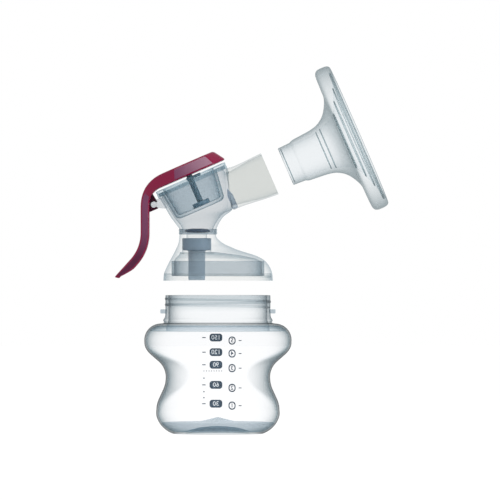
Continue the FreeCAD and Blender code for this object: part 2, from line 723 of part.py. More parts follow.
def make_hub():
    """The thick middle of the diaphragm's floor, with the socket for the stem's foot."""
    body = tilted(new_body("diaphragm_hub"), "stem_along", "cup_floor_wall - cup_depth")
    socket = "stem_radius + hub_socket_gap"
    section = [
        ("0", "0"),
        ("hub_radius", "0"),
        ("hub_radius", "hub_thick"),
        (socket, "hub_thick"),
        (socket, "hub_floor"),
        ("0", "hub_floor"),
    ]
    turn(body, outline(body, "hub_section", section))
    return body


def make_stem():
    """Rod with a round foot, a plate under the handle and a cross pin inside it."""
    body = tilted(new_body("stem"), "stem_along")
    top = "stem_pin_rise"
    rod = [
        ("0", "foot_rise", "stem_radius", 1),
        ("stem_radius", "foot_rise + stem_radius"),
        ("stem_radius", top),
        ("0", top),
    ]
    turn(body, outline(body, "rod", rod))
    plate_top = "cap_rise - stem_plate_drop"
    plate = rectangle(
        "stem_plate_shift - stem_plate_length / 2",
        "stem_plate_shift + stem_plate_length / 2",
        f"{plate_top} - stem_plate_thick",
        plate_top,
    )
    both_ways(body, outline(body, "plate", plate), "stem_plate_width")
    pin = empty_sketch(body, "pin", "XZ_Plane")
    add_circle(pin, "0", top, "stem_pin_radius")
    both_ways(body, pin, "stem_pin_length")
    return body


def handle_side():
    """Side outline: cap, round shoulder, straight lever, lower bend and tail."""
    east, up = "({0}) * cos(tilt) - ({1}) * sin(tilt)", "({0}) * sin(tilt) + ({1}) * cos(tilt)"
    front_low = ("cap_front", "cap_rise")
    front_high = ("cap_front - cap_slope", "cap_top")
    tail_x = "bend_x + lever_bend * cos(lever_turn) - lever_tail * sin(lever_turn)"
    tail_z = "bend_z - lever_bend * sin(lever_turn) - lever_tail * cos(lever_turn)"
    return [
        (east.format(*front_low), up.format(*front_low)),
        (east.format(*front_high), up.format(*front_high)),
        ("lever_out + tangent_out * cos(tilt)", "corner_out_z + tangent_out * sin(tilt)", "shoulder_bend", 1),
        ("lever_out", "corner_out_z - tangent_out"),
        ("lever_out", "bend_z", "lever_bend", -1),
        ("bend_x + lever_bend * cos(lever_turn)", "bend_z - lever_bend * sin(lever_turn)"),
        (tail_x, tail_z),
        (
            f"{tail_x} + lever_thick * cos(lever_turn) + tip_slant * sin(lever_turn)",
            f"{tail_z} - lever_thick * sin(lever_turn) + tip_slant * cos(lever_turn)",
        ),
        (
            "bend_x + lever_bend_in * cos(lever_turn)",
            "bend_z - lever_bend_in * sin(lever_turn)",
            "lever_bend_in",
            1,
        ),
        ("lever_in", "bend_z"),
        ("lever_in", "corner_in_z - tangent_in", "inner_bend", -1),
        ("lever_in + tangent_in * cos(tilt)", "corner_in_z + tangent_in * sin(tilt)"),
    ]


def handle_plan():
    """Half of the plan outline, seen along the diaphragm's axis."""
    return [
        ("cap_front", "cap_nose"),
        ("cap_nose_start", "cap_half_width"),
        ("cap_waist_start", "cap_half_width"),
        ("lever_start", "lever_half_width"),
        ("4 * lever_start", "lever_half_width"),
    ]


def make_handle():
    """One moulding: side outline padded across, trimmed to its plan, with the claw and the stem's slot."""
    body = new_body("handle")
    body.setExpression(".Placement.Base.x", bound("-chamber_shift"))
    body.setExpression(".Placement.Base.z", bound("chamber_z"))
    both_ways(body, outline(body, "handle_side", handle_side()), "2 * cap_half_width")
    for word, sign in (("near", "-"), ("far", "")):
        beyond = f"{sign}(2 * cap_half_width)"
        trim = [(x, f"{sign}({y})") for x, y in handle_plan()]
        trim += [("4 * lever_start", beyond), ("2 * cap_front", beyond)]
        trim += [("2 * cap_front", f"{sign}(cap_nose)")]
        sketch = outline(body, f"trim_{word}", trim, "XY_Plane")
        sketch.AttachmentOffset = FreeCAD.Placement(Vector(), Rotation(Vector(0, -1, 0), value("tilt")))
        sketch.setExpression(".AttachmentOffset.Rotation.Angle", bound("tilt"))
        both_ways(body, sketch, f"4 * {FAR}", "PartDesign::Pocket")
    bore = "pivot_radius + pivot_fit"
    root = "lever_in - claw_overlap"
    claw = [
        (root, "pivot_z - claw_foot"),
        (f"pivot_x + {bore} + claw_tip", f"pivot_z - {bore} - claw_jaw"),
        (f"pivot_x + {bore} - claw_jaw", f"pivot_z + {bore} + claw_jaw"),
        ("pivot_x - claw_jaw", "pivot_z + claw_head - claw_bevel"),
        ("pivot_x - claw_tip", "pivot_z + claw_head"),
        (root, "pivot_z + claw_head"),
    ]
    both_ways(body, outline(body, "claw", claw), "claw_width")
    hole = empty_sketch(body, "claw_bore", "XZ_Plane")
    add_circle(hole, "pivot_x", "pivot_z", bore)
    both_ways(body, hole, "2 * claw_width", "PartDesign::Pocket")
    beyond = f"pivot_x + 3 * ({bore})"
    mouth = rectangle("pivot_x", beyond, "pivot_z - claw_mouth / 2", "pivot_z + claw_mouth / 2")
    both_ways(body, outline(body, "claw_opening", mouth), "2 * claw_width", "PartDesign::Pocket")
    return body


def make_slotted_handle():
    """The handle with the seat of the stem's pin and the slot that its rod swings in."""
    handle = make_handle()
    pin_seat = cylinder("pin_seat", "stem_pin_radius + pivot_fit", "stem_pin_length + 2 * slot_play")
    tilted(pin_seat, "stem_along", "stem_pin_rise", "90", Vector(-1, 0, 0))
    bind(pin_seat, **{".Placement.Base.y": "-(stem_pin_length / 2 + slot_play)"})
    reach = "(stem_radius + slot_play)"
    slot = box("rod_slot", f"2 * {reach} + slot_swing", f"2 * {reach}", f"stem_pin_rise + {reach}")
    tilted(slot, f"stem_along - {reach} - slot_swing", "0")
    bind(slot, **{".Placement.Base.y": f"-{reach}"})
    return cut("handle_slotted", handle, fuse("stem_seat", [pin_seat, slot]))


def make_cup():
    """Silicone funnel, turned about the tube's axis, lengths from the end that goes into the tube."""
    body = tilted(new_body("funnel_cup"), "cup_start", "-tube_drop")
    seat = "tube_bore - stub_fit"
    flange_front = "flange_back + flange_thick"
    rim = "flange_thick / 2"
    section = [
        ("0", "stub_bore"),
        ("0", f"{seat} - seat_taper"),
        ("seat_length", seat),
        ("seat_length", "stub_radius"),
        ("stub_length", "flare_foot_radius"),
        ("stub_length + flare_length", "flare_radius"),
        ("flange_back", "flange_blend"),
        ("flange_back", f"flange_radius - {rim}"),
        (f"flange_back + {rim}", "flange_radius"),
        (flange_front, f"flange_radius - {rim}"),
        (flange_front, "bowl_radius"),
        ("throat_length", "bowl_foot_radius"),
        ("throat_start", "throat_start_radius"),
    ]
    section[4] += ("flare_round", 1)
    section[7] += (rim, -1)
    section[8] += (rim, -1)
    section[11] += ("throat_round", 1)
    turn(body, outline(body, "cup_section", section), "X_Axis")
    return body


# ---------------------------------------------------------------- build and hand over


def solids_of(nodes):
    """Recompute, then stop on any object that failed and on any node without a sound solid."""
    document.recompute()
    failed = [thing.Label for thing in document.Objects if {"Invalid", "Error"} & set(thing.State)]
    if failed:
        raise RuntimeError(f"failed objects: {failed}")
    for name, thing in nodes.items():
        shape = thing.Shape
        if shape.isNull() or not shape.isValid() or len(shape.Solids) != 1:
            raise RuntimeError(f"{name} is not one sound solid: {len(shape.Solids)} solids")
        height = shape.BoundBox
        print(f"{name:16s} {shape.Volume:9.0f} mm3  z {height.ZMin:6.1f} {height.ZMax:6.1f}")


def main():
    hood, chamber, tube = make_head()
    nodes = {
        "bottle": make_bottle(),
        "hood": hood,
        "chamber": chamber,
        "cup_tube": tube,
        "pivot_bar": make_pivot_bar(),
        "valve": make_valve(),
        "diaphragm": make_diaphragm(),
        "diaphragm_hub": make_hub(),
        "stem": make_stem(),
        "handle": make_slotted_handle(),
        "funnel_cup": make_cup(),
    }
    for name, thing in nodes.items():
        thing.Label = name
    solids_of(nodes)
    os.makedirs("parts", exist_ok=True)
    for name, thing in nodes.items():
        thing.Shape.exportStep(os.path.join("parts", name + ".step"))


main()
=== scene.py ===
"""The visible surfaces of a manual breast pump, taken apart: bottle, pump head with its handle, funnel cup.

Shape functions work in millimetres in the model's frame, and put_mesh writes metres. A surface is a
stack of closed rings: a ring is carried along a profile, and neighbouring rings are joined by quads.
"""

import json
import math

import bpy
import numpy as np
from bpy.props import FloatProperty, FloatVectorProperty, IntProperty, PointerProperty
from bpy.types import NodeSocket, Operator, Panel, PropertyGroup
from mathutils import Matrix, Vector


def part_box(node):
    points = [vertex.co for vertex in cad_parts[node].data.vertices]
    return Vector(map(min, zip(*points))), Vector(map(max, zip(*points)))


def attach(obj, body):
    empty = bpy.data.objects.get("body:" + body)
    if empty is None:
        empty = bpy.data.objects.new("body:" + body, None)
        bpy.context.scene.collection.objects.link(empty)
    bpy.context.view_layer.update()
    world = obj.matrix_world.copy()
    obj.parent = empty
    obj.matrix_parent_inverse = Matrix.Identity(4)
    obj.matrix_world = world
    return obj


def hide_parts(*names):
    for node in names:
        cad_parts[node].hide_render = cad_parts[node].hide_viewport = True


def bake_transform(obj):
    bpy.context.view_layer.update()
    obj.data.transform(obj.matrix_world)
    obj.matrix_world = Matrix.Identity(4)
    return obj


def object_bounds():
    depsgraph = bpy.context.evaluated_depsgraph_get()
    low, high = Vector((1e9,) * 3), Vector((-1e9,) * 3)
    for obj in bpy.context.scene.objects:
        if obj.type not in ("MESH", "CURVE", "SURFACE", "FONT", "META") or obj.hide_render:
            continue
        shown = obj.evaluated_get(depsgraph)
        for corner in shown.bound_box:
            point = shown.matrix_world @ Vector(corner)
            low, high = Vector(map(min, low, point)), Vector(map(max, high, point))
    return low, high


bl_info = {
    "name": "Breast pump surfaces",
    "version": (1, 0, 0),
    "blender": (4, 5, 0),
    "location": "View3D > Sidebar > Breast pump",
    "description": "Builds the surfaces, finishes and stage of a manual breast pump on its solids",
    "category": "Object",
}

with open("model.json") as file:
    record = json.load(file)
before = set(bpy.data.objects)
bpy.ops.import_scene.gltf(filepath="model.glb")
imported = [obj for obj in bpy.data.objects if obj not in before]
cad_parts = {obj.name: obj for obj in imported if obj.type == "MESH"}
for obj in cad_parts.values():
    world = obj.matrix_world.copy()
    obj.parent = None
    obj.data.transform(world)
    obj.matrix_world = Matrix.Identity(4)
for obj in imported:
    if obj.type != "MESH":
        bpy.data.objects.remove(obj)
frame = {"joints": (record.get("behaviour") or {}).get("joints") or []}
CAD_BOX = [list(corner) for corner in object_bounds()]
JOINTS = {joint["name"]: joint for joint in frame["joints"]}


def node_box(node):
    """Lowest and highest corner of a construction node, in millimetres."""
    low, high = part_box(node)
    return np.array(low) * 1000, np.array(high) * 1000


# The head frame: along the cup tube, along the diaphragm's axis, and across, from the chamber's rim.
ALONG = np.array(JOINTS["cup_slide"]["axis"], float)
RISE = np.array(JOINTS["diaphragm_lift"]["axis"], float)
ACROSS = np.array((0.0, 1.0, 0.0))
EAST = np.array((1.0, 0.0, 0.0))
UP = np.array((0.0, 0.0, 1.0))
PIVOT = np.array(JOINTS["handle_squeeze"]["pos_m"], float) * 1000
PIVOT_BACK = 23.4
PIVOT_DROP = 4.75
RIM = PIVOT + PIVOT_BACK * ALONG + PIVOT_DROP * RISE
TUBE_DROP = 14.2

BOTTLE_TOP = node_box("bottle")[1][2]
HOOD_FOOT = node_box("hood")[0][2]
HOOD_RADIUS = node_box("hood")[1][1]
VALVE_AXIS = (node_box("valve")[0][0] + node_box("valve")[1][0]) / 2

# Body and material slot of the pieces of each group.
BOTTLE = ("bottle", "clear_bottle_plastic")
HEAD = ("pump_head", "clear_head_plastic")
VALVE = ("pump_head", "blue_silicone")
STEM = ("stem", "stem_plastic")
HUB = ("diaphragm_hub", "stem_plastic")
HANDLE = ("handle", "burgundy_plastic")
CUP = ("funnel_cup", "clear_silicone")

FINE_COLUMNS = 144
SHARP_EDGE = math.radians(40)
OPENED_EDGE = math.radians(35)
PLATE_BEVEL = 0.3


# ---------------------------------------------------------------- settings


def length(name, description, default):
    """A size in metres, typed here in millimetres."""
    return FloatProperty(
        name=name, description=description, default=default / 1000, min=0.0001, precision=5, unit="LENGTH"
    )


def colour(name, description, default):
    return FloatVectorProperty(
        name=name, description=description, default=default, size=3, min=0, max=1, subtype="COLOR"
    )


def share(name, description, default):
    return FloatProperty(
        name=name, description=description, default=default, min=0, max=1, precision=3, subtype="FACTOR"
    )


def number(name, description, default, low, high):
    return FloatProperty(name=name, description=description, default=default, min=low, max=high)


class ClearLook(PropertyGroup):
    """How one see-through material looks."""

    passed: colour("Passed colour", "What one face lets through seen straight on", (0.995, 0.997, 1.0))
    edge: colour("Edge colour", "What one face lets through seen edge-on", (0.3, 0.43, 0.48))
    body: colour("Body colour", "The colour of the plastic itself", (0.62, 0.68, 0.72))
    haze: share("Haze", "How solid a face looks straight on", 0.004)
    rim: share("Rim", "How solid a face looks edge-on", 0.25)
    fall: number("Fall", "How quickly the edge takes over", 3.2, 0.5, 12)
    roughness: share("Roughness", "Roughness of the gloss", 0.12)


class BottleSettings(PropertyGroup):
    """Sizes of the bottle's wall and thread."""

    wall: length("Wall", "Wall of the bottle", 1.0)
    crease: length("Grip crease", "Softness of a grip's edge on the front and back", 0.4)
    blend: length("Grip edge", "Softness of a grip's edge at the sides", 3.4)
    thread_depth: length("Thread depth", "Thread beyond the neck", 0.3)
    columns: IntProperty(name="Columns", description="Points round the bottle", default=240, min=48, max=480)


class HeadSettings(PropertyGroup):
    """Sizes of the clear pump head."""

    skirt: length("Skirt", "Wall of the hood's skirt", 1.0)
    columns: IntProperty(name="Columns", description="Points round the head", default=144, min=48, max=360)


class HandleSettings(PropertyGroup):
    """Sizes and colour of the handle."""

    edge: length("Edge", "Rounded edges of the handle", 1.1)
    colour: colour("Colour", "Burgundy of the handle", (0.2, 0.001, 0.036))
    # The three mauves below are painted sheen on the flat sides: the white gloss painted into their colour,
    # brightest at the cap's front end as a painted highlight, and dimmer towards the lever's tip.
    satin: colour("Satin", "Mauve of its flat sides, which are left satin", (0.13, 0.033, 0.08))
    bright: colour("Bright satin", "Mauve of the cap's front end", (0.29, 0.15, 0.21))
    tail: colour("Tail satin", "Its deeper tone towards the lever's tip", (0.065, 0.003, 0.028))
    # The claw's dark burgundy is painted shade: it is the handle's plastic, darkened for the gap that it
    # sits in.
    claw: colour("Claw", "Dark burgundy of the claw", (0.04, 0.0, 0.012))
    roughness: share("Roughness", "Roughness of the gloss", 0.22)


class StemSettings(PropertyGroup):
    """Colour of the stem and its foot."""

    colour: colour("Colour", "Slate blue of the stem", (0.078, 0.165, 0.215))
    # The foot colour is painted light: a paler copy of the stem's slate for the hub, which is the same
    # plastic.
    foot: colour("Foot colour", "Paler slate of the hub at its foot", (0.13, 0.235, 0.31))


class ScaleSettings(PropertyGroup):
    """Colours of the printed scale."""

    ink: colour("Ink", "Dark plates and ticks", (0.065, 0.095, 0.13))
    light: colour("Light ink", "Numbers on the plates", (0.85, 0.87, 0.88))


class StageSettings(PropertyGroup):
    """Light, floor and camera."""

    lens: number("Lens", "Focal length in millimetres", 600, 35, 1200)
    fill: share("Fill", "Share of the picture's height that the pump takes", 0.7322)
    left: length("Left", "How far the pump's middle lies right of the picture's middle", 0.35)
    above: length("Above", "How far the picture's middle lies above the pump's middle", 0.3)
    world: number("Fill light", "Strength of the even light", 0.72, 0, 2)
    key: number("Key light", "Power of the soft key lamp", 0.55, 0, 50)


# ---------------------------------------------------------------- shapes


def rounded(points, reach, steps=6, closed=False):
    """A line whose corners are curves: (1-t)² a + 2 t (1-t) p + t² b, with a and b at `reach` from the
    corner p on its two legs, or half way along a leg that is shorter."""
    points = np.asarray(points, float)
    reach = np.broadcast_to(np.asarray(reach, float), len(points)).copy()
    if not closed:
        reach[0] = reach[-1] = 0
    back = np.roll(points, 1, 0) - points
    ahead = np.roll(points, -1, 0) - points
    size_back = np.maximum(np.linalg.norm(back, axis=1), 1e-9)
    size_ahead = np.maximum(np.linalg.norm(ahead, axis=1), 1e-9)
    a = points + back * np.minimum(reach / size_back, 0.5)[:, None]
    b = points + ahead * np.minimum(reach / size_ahead, 0.5)[:, None]
    t = np.linspace(0, 1, steps)[None, :, None]
    curves = (1 - t) ** 2 * a[:, None] + 2 * t * (1 - t) * points[:, None] + t**2 * b[:, None]
    line = curves.reshape(-1, points.shape[1])
    kept = np.append(True, np.linalg.norm(np.diff(line, axis=0), axis=1) > 1e-6)
    return line[kept]


def spaced(line, gap, closed=False):
    """The same line with points about `gap` apart, its own points among them."""
    if closed:
        line = np.vstack([line, line[:1]])
    lengths = np.linalg.norm(np.diff(line, axis=0), axis=1)
    at = np.append(0, np.cumsum(lengths))
    counts = np.maximum(np.ceil(lengths / gap), 1).astype(int)
    start = np.repeat(at[:-1], counts)
    number = np.arange(counts.sum()) - np.repeat(np.cumsum(counts) - counts, counts)
    places = start + number * np.repeat(lengths / counts, counts)
    if not closed:
        places = np.append(places, at[-1])
    return np.stack([np.interp(places, at, line[:, k]) for k in range(line.shape[1])], 1)


def smooth(points, reach, gap, closed=False, steps=6):
    """A line with its corners rounded and its points about `gap` apart."""
    return spaced(rounded(points, reach, steps, closed), gap, closed)


def arc(start, end, radius, steps=24):
    """Arc from start to end; its centre lies on the left of the way for a positive radius."""
    start, end = np.array(start, float), np.array(end, float)
    way = end - start
    size = np.linalg.norm(way)
    left = np.array((-way[1], way[0])) / size
    centre = (start + end) / 2 + left * math.sqrt(radius**2 - size**2 / 4) * np.sign(radius)
    first = math.atan2(*(start - centre)[::-1])
    turn = 2 * math.asin(size / (2 * abs(radius))) * np.sign(radius)
    angle = first + turn * np.linspace(0, 1, steps)
    return centre + abs(radius) * np.stack([np.cos(angle), np.sin(angle)], 1)


def circle_of(columns):
    """Cosine and sine round a ring."""
    angle = np.linspace(0, 2 * math.pi, columns, endpoint=False)
    return np.cos(angle), np.sin(angle)


def place(origin, *parts):
    """origin + the sum of each amount times its direction; amounts are arrays of rows by columns."""
    total = np.asarray(origin, float)
    for amount, direction in parts:
        total = total + np.asarray(amount, float)[..., None] * direction
    return total


def turned(profile, origin, axis, side, columns=96, shift=0.0):
    """A profile of (radius, height) turned about an axis: origin + height·axis + radius·(cos, sin).
    shift moves each row along side."""
    cos, sin = circle_of(columns)
    radius, height = profile[:, :1], profile[:, 1:2]
    other = np.cross(axis, side)
    along = radius * cos + np.broadcast_to(shift, (len(profile),))[:, None]
    return place(origin, (along, side), (radius * sin, other), (height + 0 * cos, axis))


def upright(profile, x=0.0, z=0.0, columns=FINE_COLUMNS):
    """A profile turned about an upright axis."""
    return turned(profile, (x, 0, z), UP, EAST, columns)


def outline_of_box(corner_steps=5, side_steps=8):
    """A rounded rectangle's ring as four arrays: where the corner's centre is, and the way out from it."""
    turn = np.linspace(0, math.pi / 2, corner_steps)
    between = np.linspace(0, 1, side_steps + 2)[1:-1]
    signs = np.array(((1, 1), (-1, 1), (-1, -1), (1, -1)), float)
    parts = []
    for number, (here, after) in enumerate(zip(signs, np.roll(signs, -1, 0))):
        angle = turn + number * math.pi / 2
        arc_part = np.stack([0 * angle + here[0], 0 * angle + here[1], np.cos(angle), np.sin(angle)], 1)
        out = np.array((math.cos(angle[-1]), math.sin(angle[-1]))).round(9)
        centres = here + (after - here) * between[:, None]
        parts += [arc_part, np.hstack([centres, 0 * centres + out])]
    return np.vstack(parts).T


def box_rings(middles, wide, deep, half_wide, half_deep, edge):
    """Rounded rectangles about middles: ±(half - edge) to the corner's centre, then edge outwards."""
    east, north, out_east, out_north = outline_of_box()
    edge = np.minimum(edge, np.minimum(half_wide, half_deep) * 0.98)[:, None]
    across = east * (half_wide[:, None] - edge) + edge * out_east
    up = north * (half_deep[:, None] - edge) + edge * out_north
    wide = np.broadcast_to(wide, (len(middles), 3))[:, None, :]
    deep = np.broadcast_to(deep, (len(middles), 3))[:, None, :]
    return middles[:, None, :] + across[..., None] * wide + up[..., None] * deep


def block(middle, axes, half, edge):
    """A box with rounded edges: the end rings draw in by edge·(1 - cos) as they run out by edge·sin."""
    turn = np.linspace(math.pi / 2, 0, 5)
    flat = np.linspace(edge - half[0], half[0] - edge, 9)[1:-1]
    run = edge * np.sin(turn)
    out = np.concatenate([-half[0] + edge - run, flat, half[0] - edge + run[::-1]])
    end = edge * (1 - np.cos(turn))
    draw = np.concatenate([end, np.zeros(len(flat)), end[::-1]])
    middles = np.asarray(middle, float) + out[:, None] * np.asarray(axes[0], float)
    return box_rings(middles, axes[1], axes[2], half[1] - draw, half[2] - draw, 0 * draw + edge)


def put_mesh(name, parts):
    """One closed mesh of ring stacks. A stack is (rings, closed): closed joins the last ring to the first,
    otherwise a pole in the middle shuts each end. The sign of the volume turns the faces outwards."""
    points, faces = [], []
    first = 0
    for rings, closed in parts:
        rows, columns = rings.shape[:2]
        row = np.arange(rows if closed else rows - 1)[:, None]
        column = np.arange(columns)
        beside = (column + 1) % columns
        here, after = row * columns, (row + 1) % rows * columns
        quads = np.stack((here + column, here + beside, after + beside, after + column), -1).reshape(-1, 4)
        cloud = rings.reshape(-1, 3)
        fans = np.zeros((0, 3), int)
        if not closed:
            cloud = np.vstack([cloud, rings[0].mean(0), rings[-1].mean(0)])
            pole, last = rows * columns, (rows - 1) * columns
            near = np.stack([0 * column + pole, beside, column], 1)
            far = np.stack([0 * column + pole + 1, last + column, last + beside], 1)
            fans = np.vstack([near, far])
        triangles = np.vstack([quads[:, :3], quads[:, [0, 2, 3]], fans])
        corner = cloud[triangles]
        volume = np.einsum("ij,ij->i", corner[:, 0], np.cross(corner[:, 1], corner[:, 2])).sum()
        if volume < 0:
            quads, fans = quads[:, ::-1], fans[:, ::-1]
        points.append(cloud)
        faces += (quads + first).tolist() + (fans + first).tolist()
        first += len(cloud)
    mesh = bpy.data.meshes.new(name)
    mesh.from_pydata((np.vstack(points) / 1000).tolist(), [], faces)
    return finish_mesh(name, mesh)


def add_object(name, data):
    made = bpy.data.objects.new(name, data)
    bpy.context.scene.collection.objects.link(made)
    return made


def shade(mesh, sharp):
    """Shade the mesh smooth, with sharp edges past an angle."""
    mesh.shade_smooth()
    mesh.set_sharp_from_angle(angle=sharp)


def finish_mesh(name, mesh):
    mesh.validate()
    shade(mesh, SHARP_EDGE)
    return add_object(name, mesh)


def put_plate(name, outline, low, high, origin, wide, deep, through):
    """A plate of the given outline between two heights, with its edges bevelled. Outline is (wide, deep)."""
    count = len(outline)
    flat = place(origin, (outline[:, 0], wide), (outline[:, 1], deep))
    points = np.vstack([flat + low * through, flat + high * through])
    around = np.arange(count)
    beside = (around + 1) % count
    sides = np.stack([around, beside, beside + count, around + count], 1).tolist()
    mesh = bpy.data.meshes.new(name)
    ends = [around[::-1].tolist(), (around + count).tolist()]
    mesh.from_pydata((points / 1000).tolist(), [], sides + ends)
    after = np.roll(outline, -1, 0)
    area = np.sum(outline[:, 0] * after[:, 1] - after[:, 0] * outline[:, 1])
    if area * np.dot(np.cross(wide, deep), through) * (high - low) < 0:
        mesh.flip_normals()
    piece = finish_mesh(name, mesh)
    soften = piece.modifiers.new("Soft edges", "BEVEL")
    soften.width = PLATE_BEVEL / 1000
    soften.segments = 3
    soften.limit_method = "ANGLE"
    soften.angle_limit = math.radians(50)
    return piece


def dress(piece, home, material, *nodes):
    """Give a piece its finish and its body, and hide the construction nodes that it stands for."""
    body, slot = home
    piece.data.materials.append(material)
    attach(piece, body)
    if nodes:
        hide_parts(*nodes)
    return piece


def put_rings(name, rings, closed, home, material, *nodes):
    """A dressed piece of one stack of rings."""
    return dress(put_mesh(name, [(rings, closed)]), home, material, *nodes)


def paint(piece, kinds, columns, *materials):
    """Add materials, and number the faces' materials by row; an open stack's two ends count as rows."""
    for material in materials:
        piece.data.materials.append(material)
    piece.data.polygons.foreach_set("material_index", np.repeat(kinds, columns).astype(np.int32))


# ---------------------------------------------------------------- finishes

DARK_EDGE = 0.55
TONE = 0.12


def blank_material(name):
    made = bpy.data.materials.new(name)
    made.use_nodes = True
    made.node_tree.nodes.clear()
    return made, made.node_tree


def add(tree, kind, inputs=None, **settings):
    """Add a node; an input is a value, or another node's socket to link from."""
    made = tree.nodes.new("ShaderNode" + kind)
    for name, setting in settings.items():
        setattr(made, name, setting)
    for name, content in (inputs or {}).items():
        if isinstance(content, NodeSocket):
            tree.links.new(content, made.inputs[name])
        else:
            made.inputs[name].default_value = content
    return made


def rgba(colour_value):
    return (*colour_value, 1.0)


def noise(tree, scale, detail=2.0):
    """Noise on Object coordinates; scale is in cells a metre."""
    where = add(tree, "TexCoord").outputs["Object"]
    return add(tree, "TexNoise", {"Vector": where, "Scale": scale, "Detail": detail}).outputs["Fac"]


def bump(tree, height, strength, distance):
    content = {"Height": height, "Strength": strength, "Distance": distance}
    return add(tree, "Bump", content).outputs["Normal"]


def math_node(tree, operation, first, second=0.5, **settings):
    return add(tree, "Math", {0: first, 1: second}, operation=operation, **settings).outputs[0]


def show(tree, kind, shader):
    """Send a shader to the output; kind is Material or World."""
    add(tree, "Output" + kind, {"Surface": shader.outputs[0]})


def spread(tree, source, low, high):
    """Map 0 to 1 onto low to high."""
    return add(tree, "MapRange", {"Value": source, "To Min": low, "To Max": high}).outputs["Result"]


def mixed(tree, factor, first, second):
    node = add(tree, "Mix", {"Factor": factor}, data_type="RGBA")
    for number, content in ((6, first), (7, second)):
        if isinstance(content, NodeSocket):
            tree.links.new(content, node.inputs[number])
        else:
            node.inputs[number].default_value = rgba(content)
    return node.outputs[2]


def along_axis(tree, axis, start, end):
    """0 to 1 along an axis of the piece, between two distances in millimetres."""
    where = add(tree, "TexCoord").outputs["Object"]
    reach = add(tree, "VectorMath", {0: where, 1: tuple(axis)}, operation="DOT_PRODUCT").outputs["Value"]
    span = {"Value": reach, "From Min": start / 1000, "From Max": end / 1000}
    return add(tree, "MapRange", span, interpolation_type="SMOOTHSTEP").outputs["Result"]


def clear_material(scene, key, wave=160.0, depth=0.0002, painted_shade_above=None):
    """A clear wall. What it lets through turns from the passed colour to the edge colour, and its solid
    share from haze to rim, by facing^fall: facing is 0 seen straight on, and 1 seen edge-on. With a last
    argument of (height, height, colour), the passed colour turns into that one between the heights: painted
    shade, greyer towards the top."""
    look = getattr(scene, look_name(key))
    made, tree = blank_material(LOOKS[key][0])
    facing = add(tree, "LayerWeight", {"Blend": 0.5}).outputs["Facing"]
    edge = math_node(tree, "POWER", facing, look.fall)
    cloud = noise(tree, wave)
    passed = look.passed
    # Painted shade: the passed colour greys between the two heights, darker towards the top.
    if painted_shade_above:
        passed = mixed(tree, along_axis(tree, UP, painted_shade_above[0], painted_shade_above[1]), passed, painted_shade_above[2])
    through = add(tree, "BsdfTransparent", {"Color": mixed(tree, edge, passed, look.edge)})
    principled = {
        "Base Color": mixed(tree, edge, look.body, [part * DARK_EDGE for part in look.body]),
        "Roughness": spread(tree, cloud, look.roughness * 0.8, look.roughness * 1.3),
        "IOR": 1.3,
        "Normal": bump(tree, cloud, 0.4, depth),
    }
    body = add(tree, "BsdfPrincipled", principled)
    solid = spread(tree, edge, look.haze, look.rim)
    show(tree, "Material", add(tree, "MixShader", {0: solid, 1: through.outputs[0], 2: body.outputs[0]}))
    return made


def solid_material(name, base, roughness, gloss=0.5, wave=300.0):
    """Moulded plastic: a faint cloud in colour and gloss, and the fine unevenness of a moulding."""
    made, tree = blank_material(name)
    cloud = noise(tree, wave, 3.0)
    darker = [part * (1 - TONE) for part in base]
    lighter = [min(part * (1 + TONE), 1) for part in base]
    principled = {
        "Base Color": mixed(tree, cloud, darker, lighter),
        "Roughness": spread(tree, cloud, roughness * 0.8, roughness * 1.25),
        "IOR": 1.5,
        "Specular IOR Level": gloss,
        "Normal": bump(tree, cloud, 0.5, 0.00004),
    }
    show(tree, "Material", add(tree, "BsdfPrincipled", principled))
    return made


# ---------------------------------------------------------------- bottle

GRIP_HEIGHT = 29.9
GRIP_WAIST = 27.6
GRIP_AXIS = 25.0
GRIP_ROUND_LOW = 16.0
GRIP_LEAN_LOW = math.radians(24.6)
GRIP_ROUND_HIGH = 11.0
GRIP_LEAN_HIGH = math.radians(49.0)
PUNT_RADIUS = 17.5
PUNT_ROWS = 24
FOOT_RADIUS = 33.0
FOOT_TOP = 12.6
SHOULDER_RADIUS = 38.95
SHOULDER_HEIGHT = 49.5
SHOULDER_ARC = 8.7
THICK_FOOT_RADIUS = 23.0
THICK_FOOT_TOP = 3.5
NECK_FOOT = 31.55
NECK_START = 58.1
GRIPS_END = 58.0
NECK_RADIUS = 27.75
NECK_BORE = NECK_RADIUS - 1.6
THREAD_PITCH = 3.15


def bottle_side(shell):
    """The bottle's (radius, height) profile from its base's middle to the neck, `shell` inside the wall."""
    punt = arc((0, 3.0 + shell), (PUNT_RADIUS, shell), -52.5, PUNT_ROWS)
    foot, top = (FOOT_RADIUS - shell, FOOT_TOP), (SHOULDER_RADIUS - shell, SHOULDER_HEIGHT)
    low = arc((23.6, shell), foot, 13.5 - shell)
    shoulder = arc(top, (NECK_FOOT, NECK_START - shell), SHOULDER_ARC - shell)
    return np.vstack([punt[1:], low, arc(foot, top, 150.0, 60)[1:], shoulder[1:]])


def grip_limit(height, sine, cosine, shell):
    """How far out a grip lets the wall be: each grip is turned about an upright axis beyond the middle, and
    its profile is waist + R - sqrt(R² - d²) up to R sin(lean), then a straight slope of tan(lean)."""
    d = np.abs(height - GRIP_HEIGHT)
    below = height < GRIP_HEIGHT
    size = np.where(below, GRIP_ROUND_LOW, GRIP_ROUND_HIGH) + shell
    lean = np.where(below, GRIP_LEAN_LOW, GRIP_LEAN_HIGH)
    bent = np.minimum(d, size * np.sin(lean))
    half = GRIP_WAIST - shell + size - np.sqrt(size**2 - bent**2) + (d - bent) * np.tan(lean)
    reach = half + GRIP_AXIS
    return -GRIP_AXIS * np.abs(cosine) + np.sqrt(reach**2 - (GRIP_AXIS * sine) ** 2)


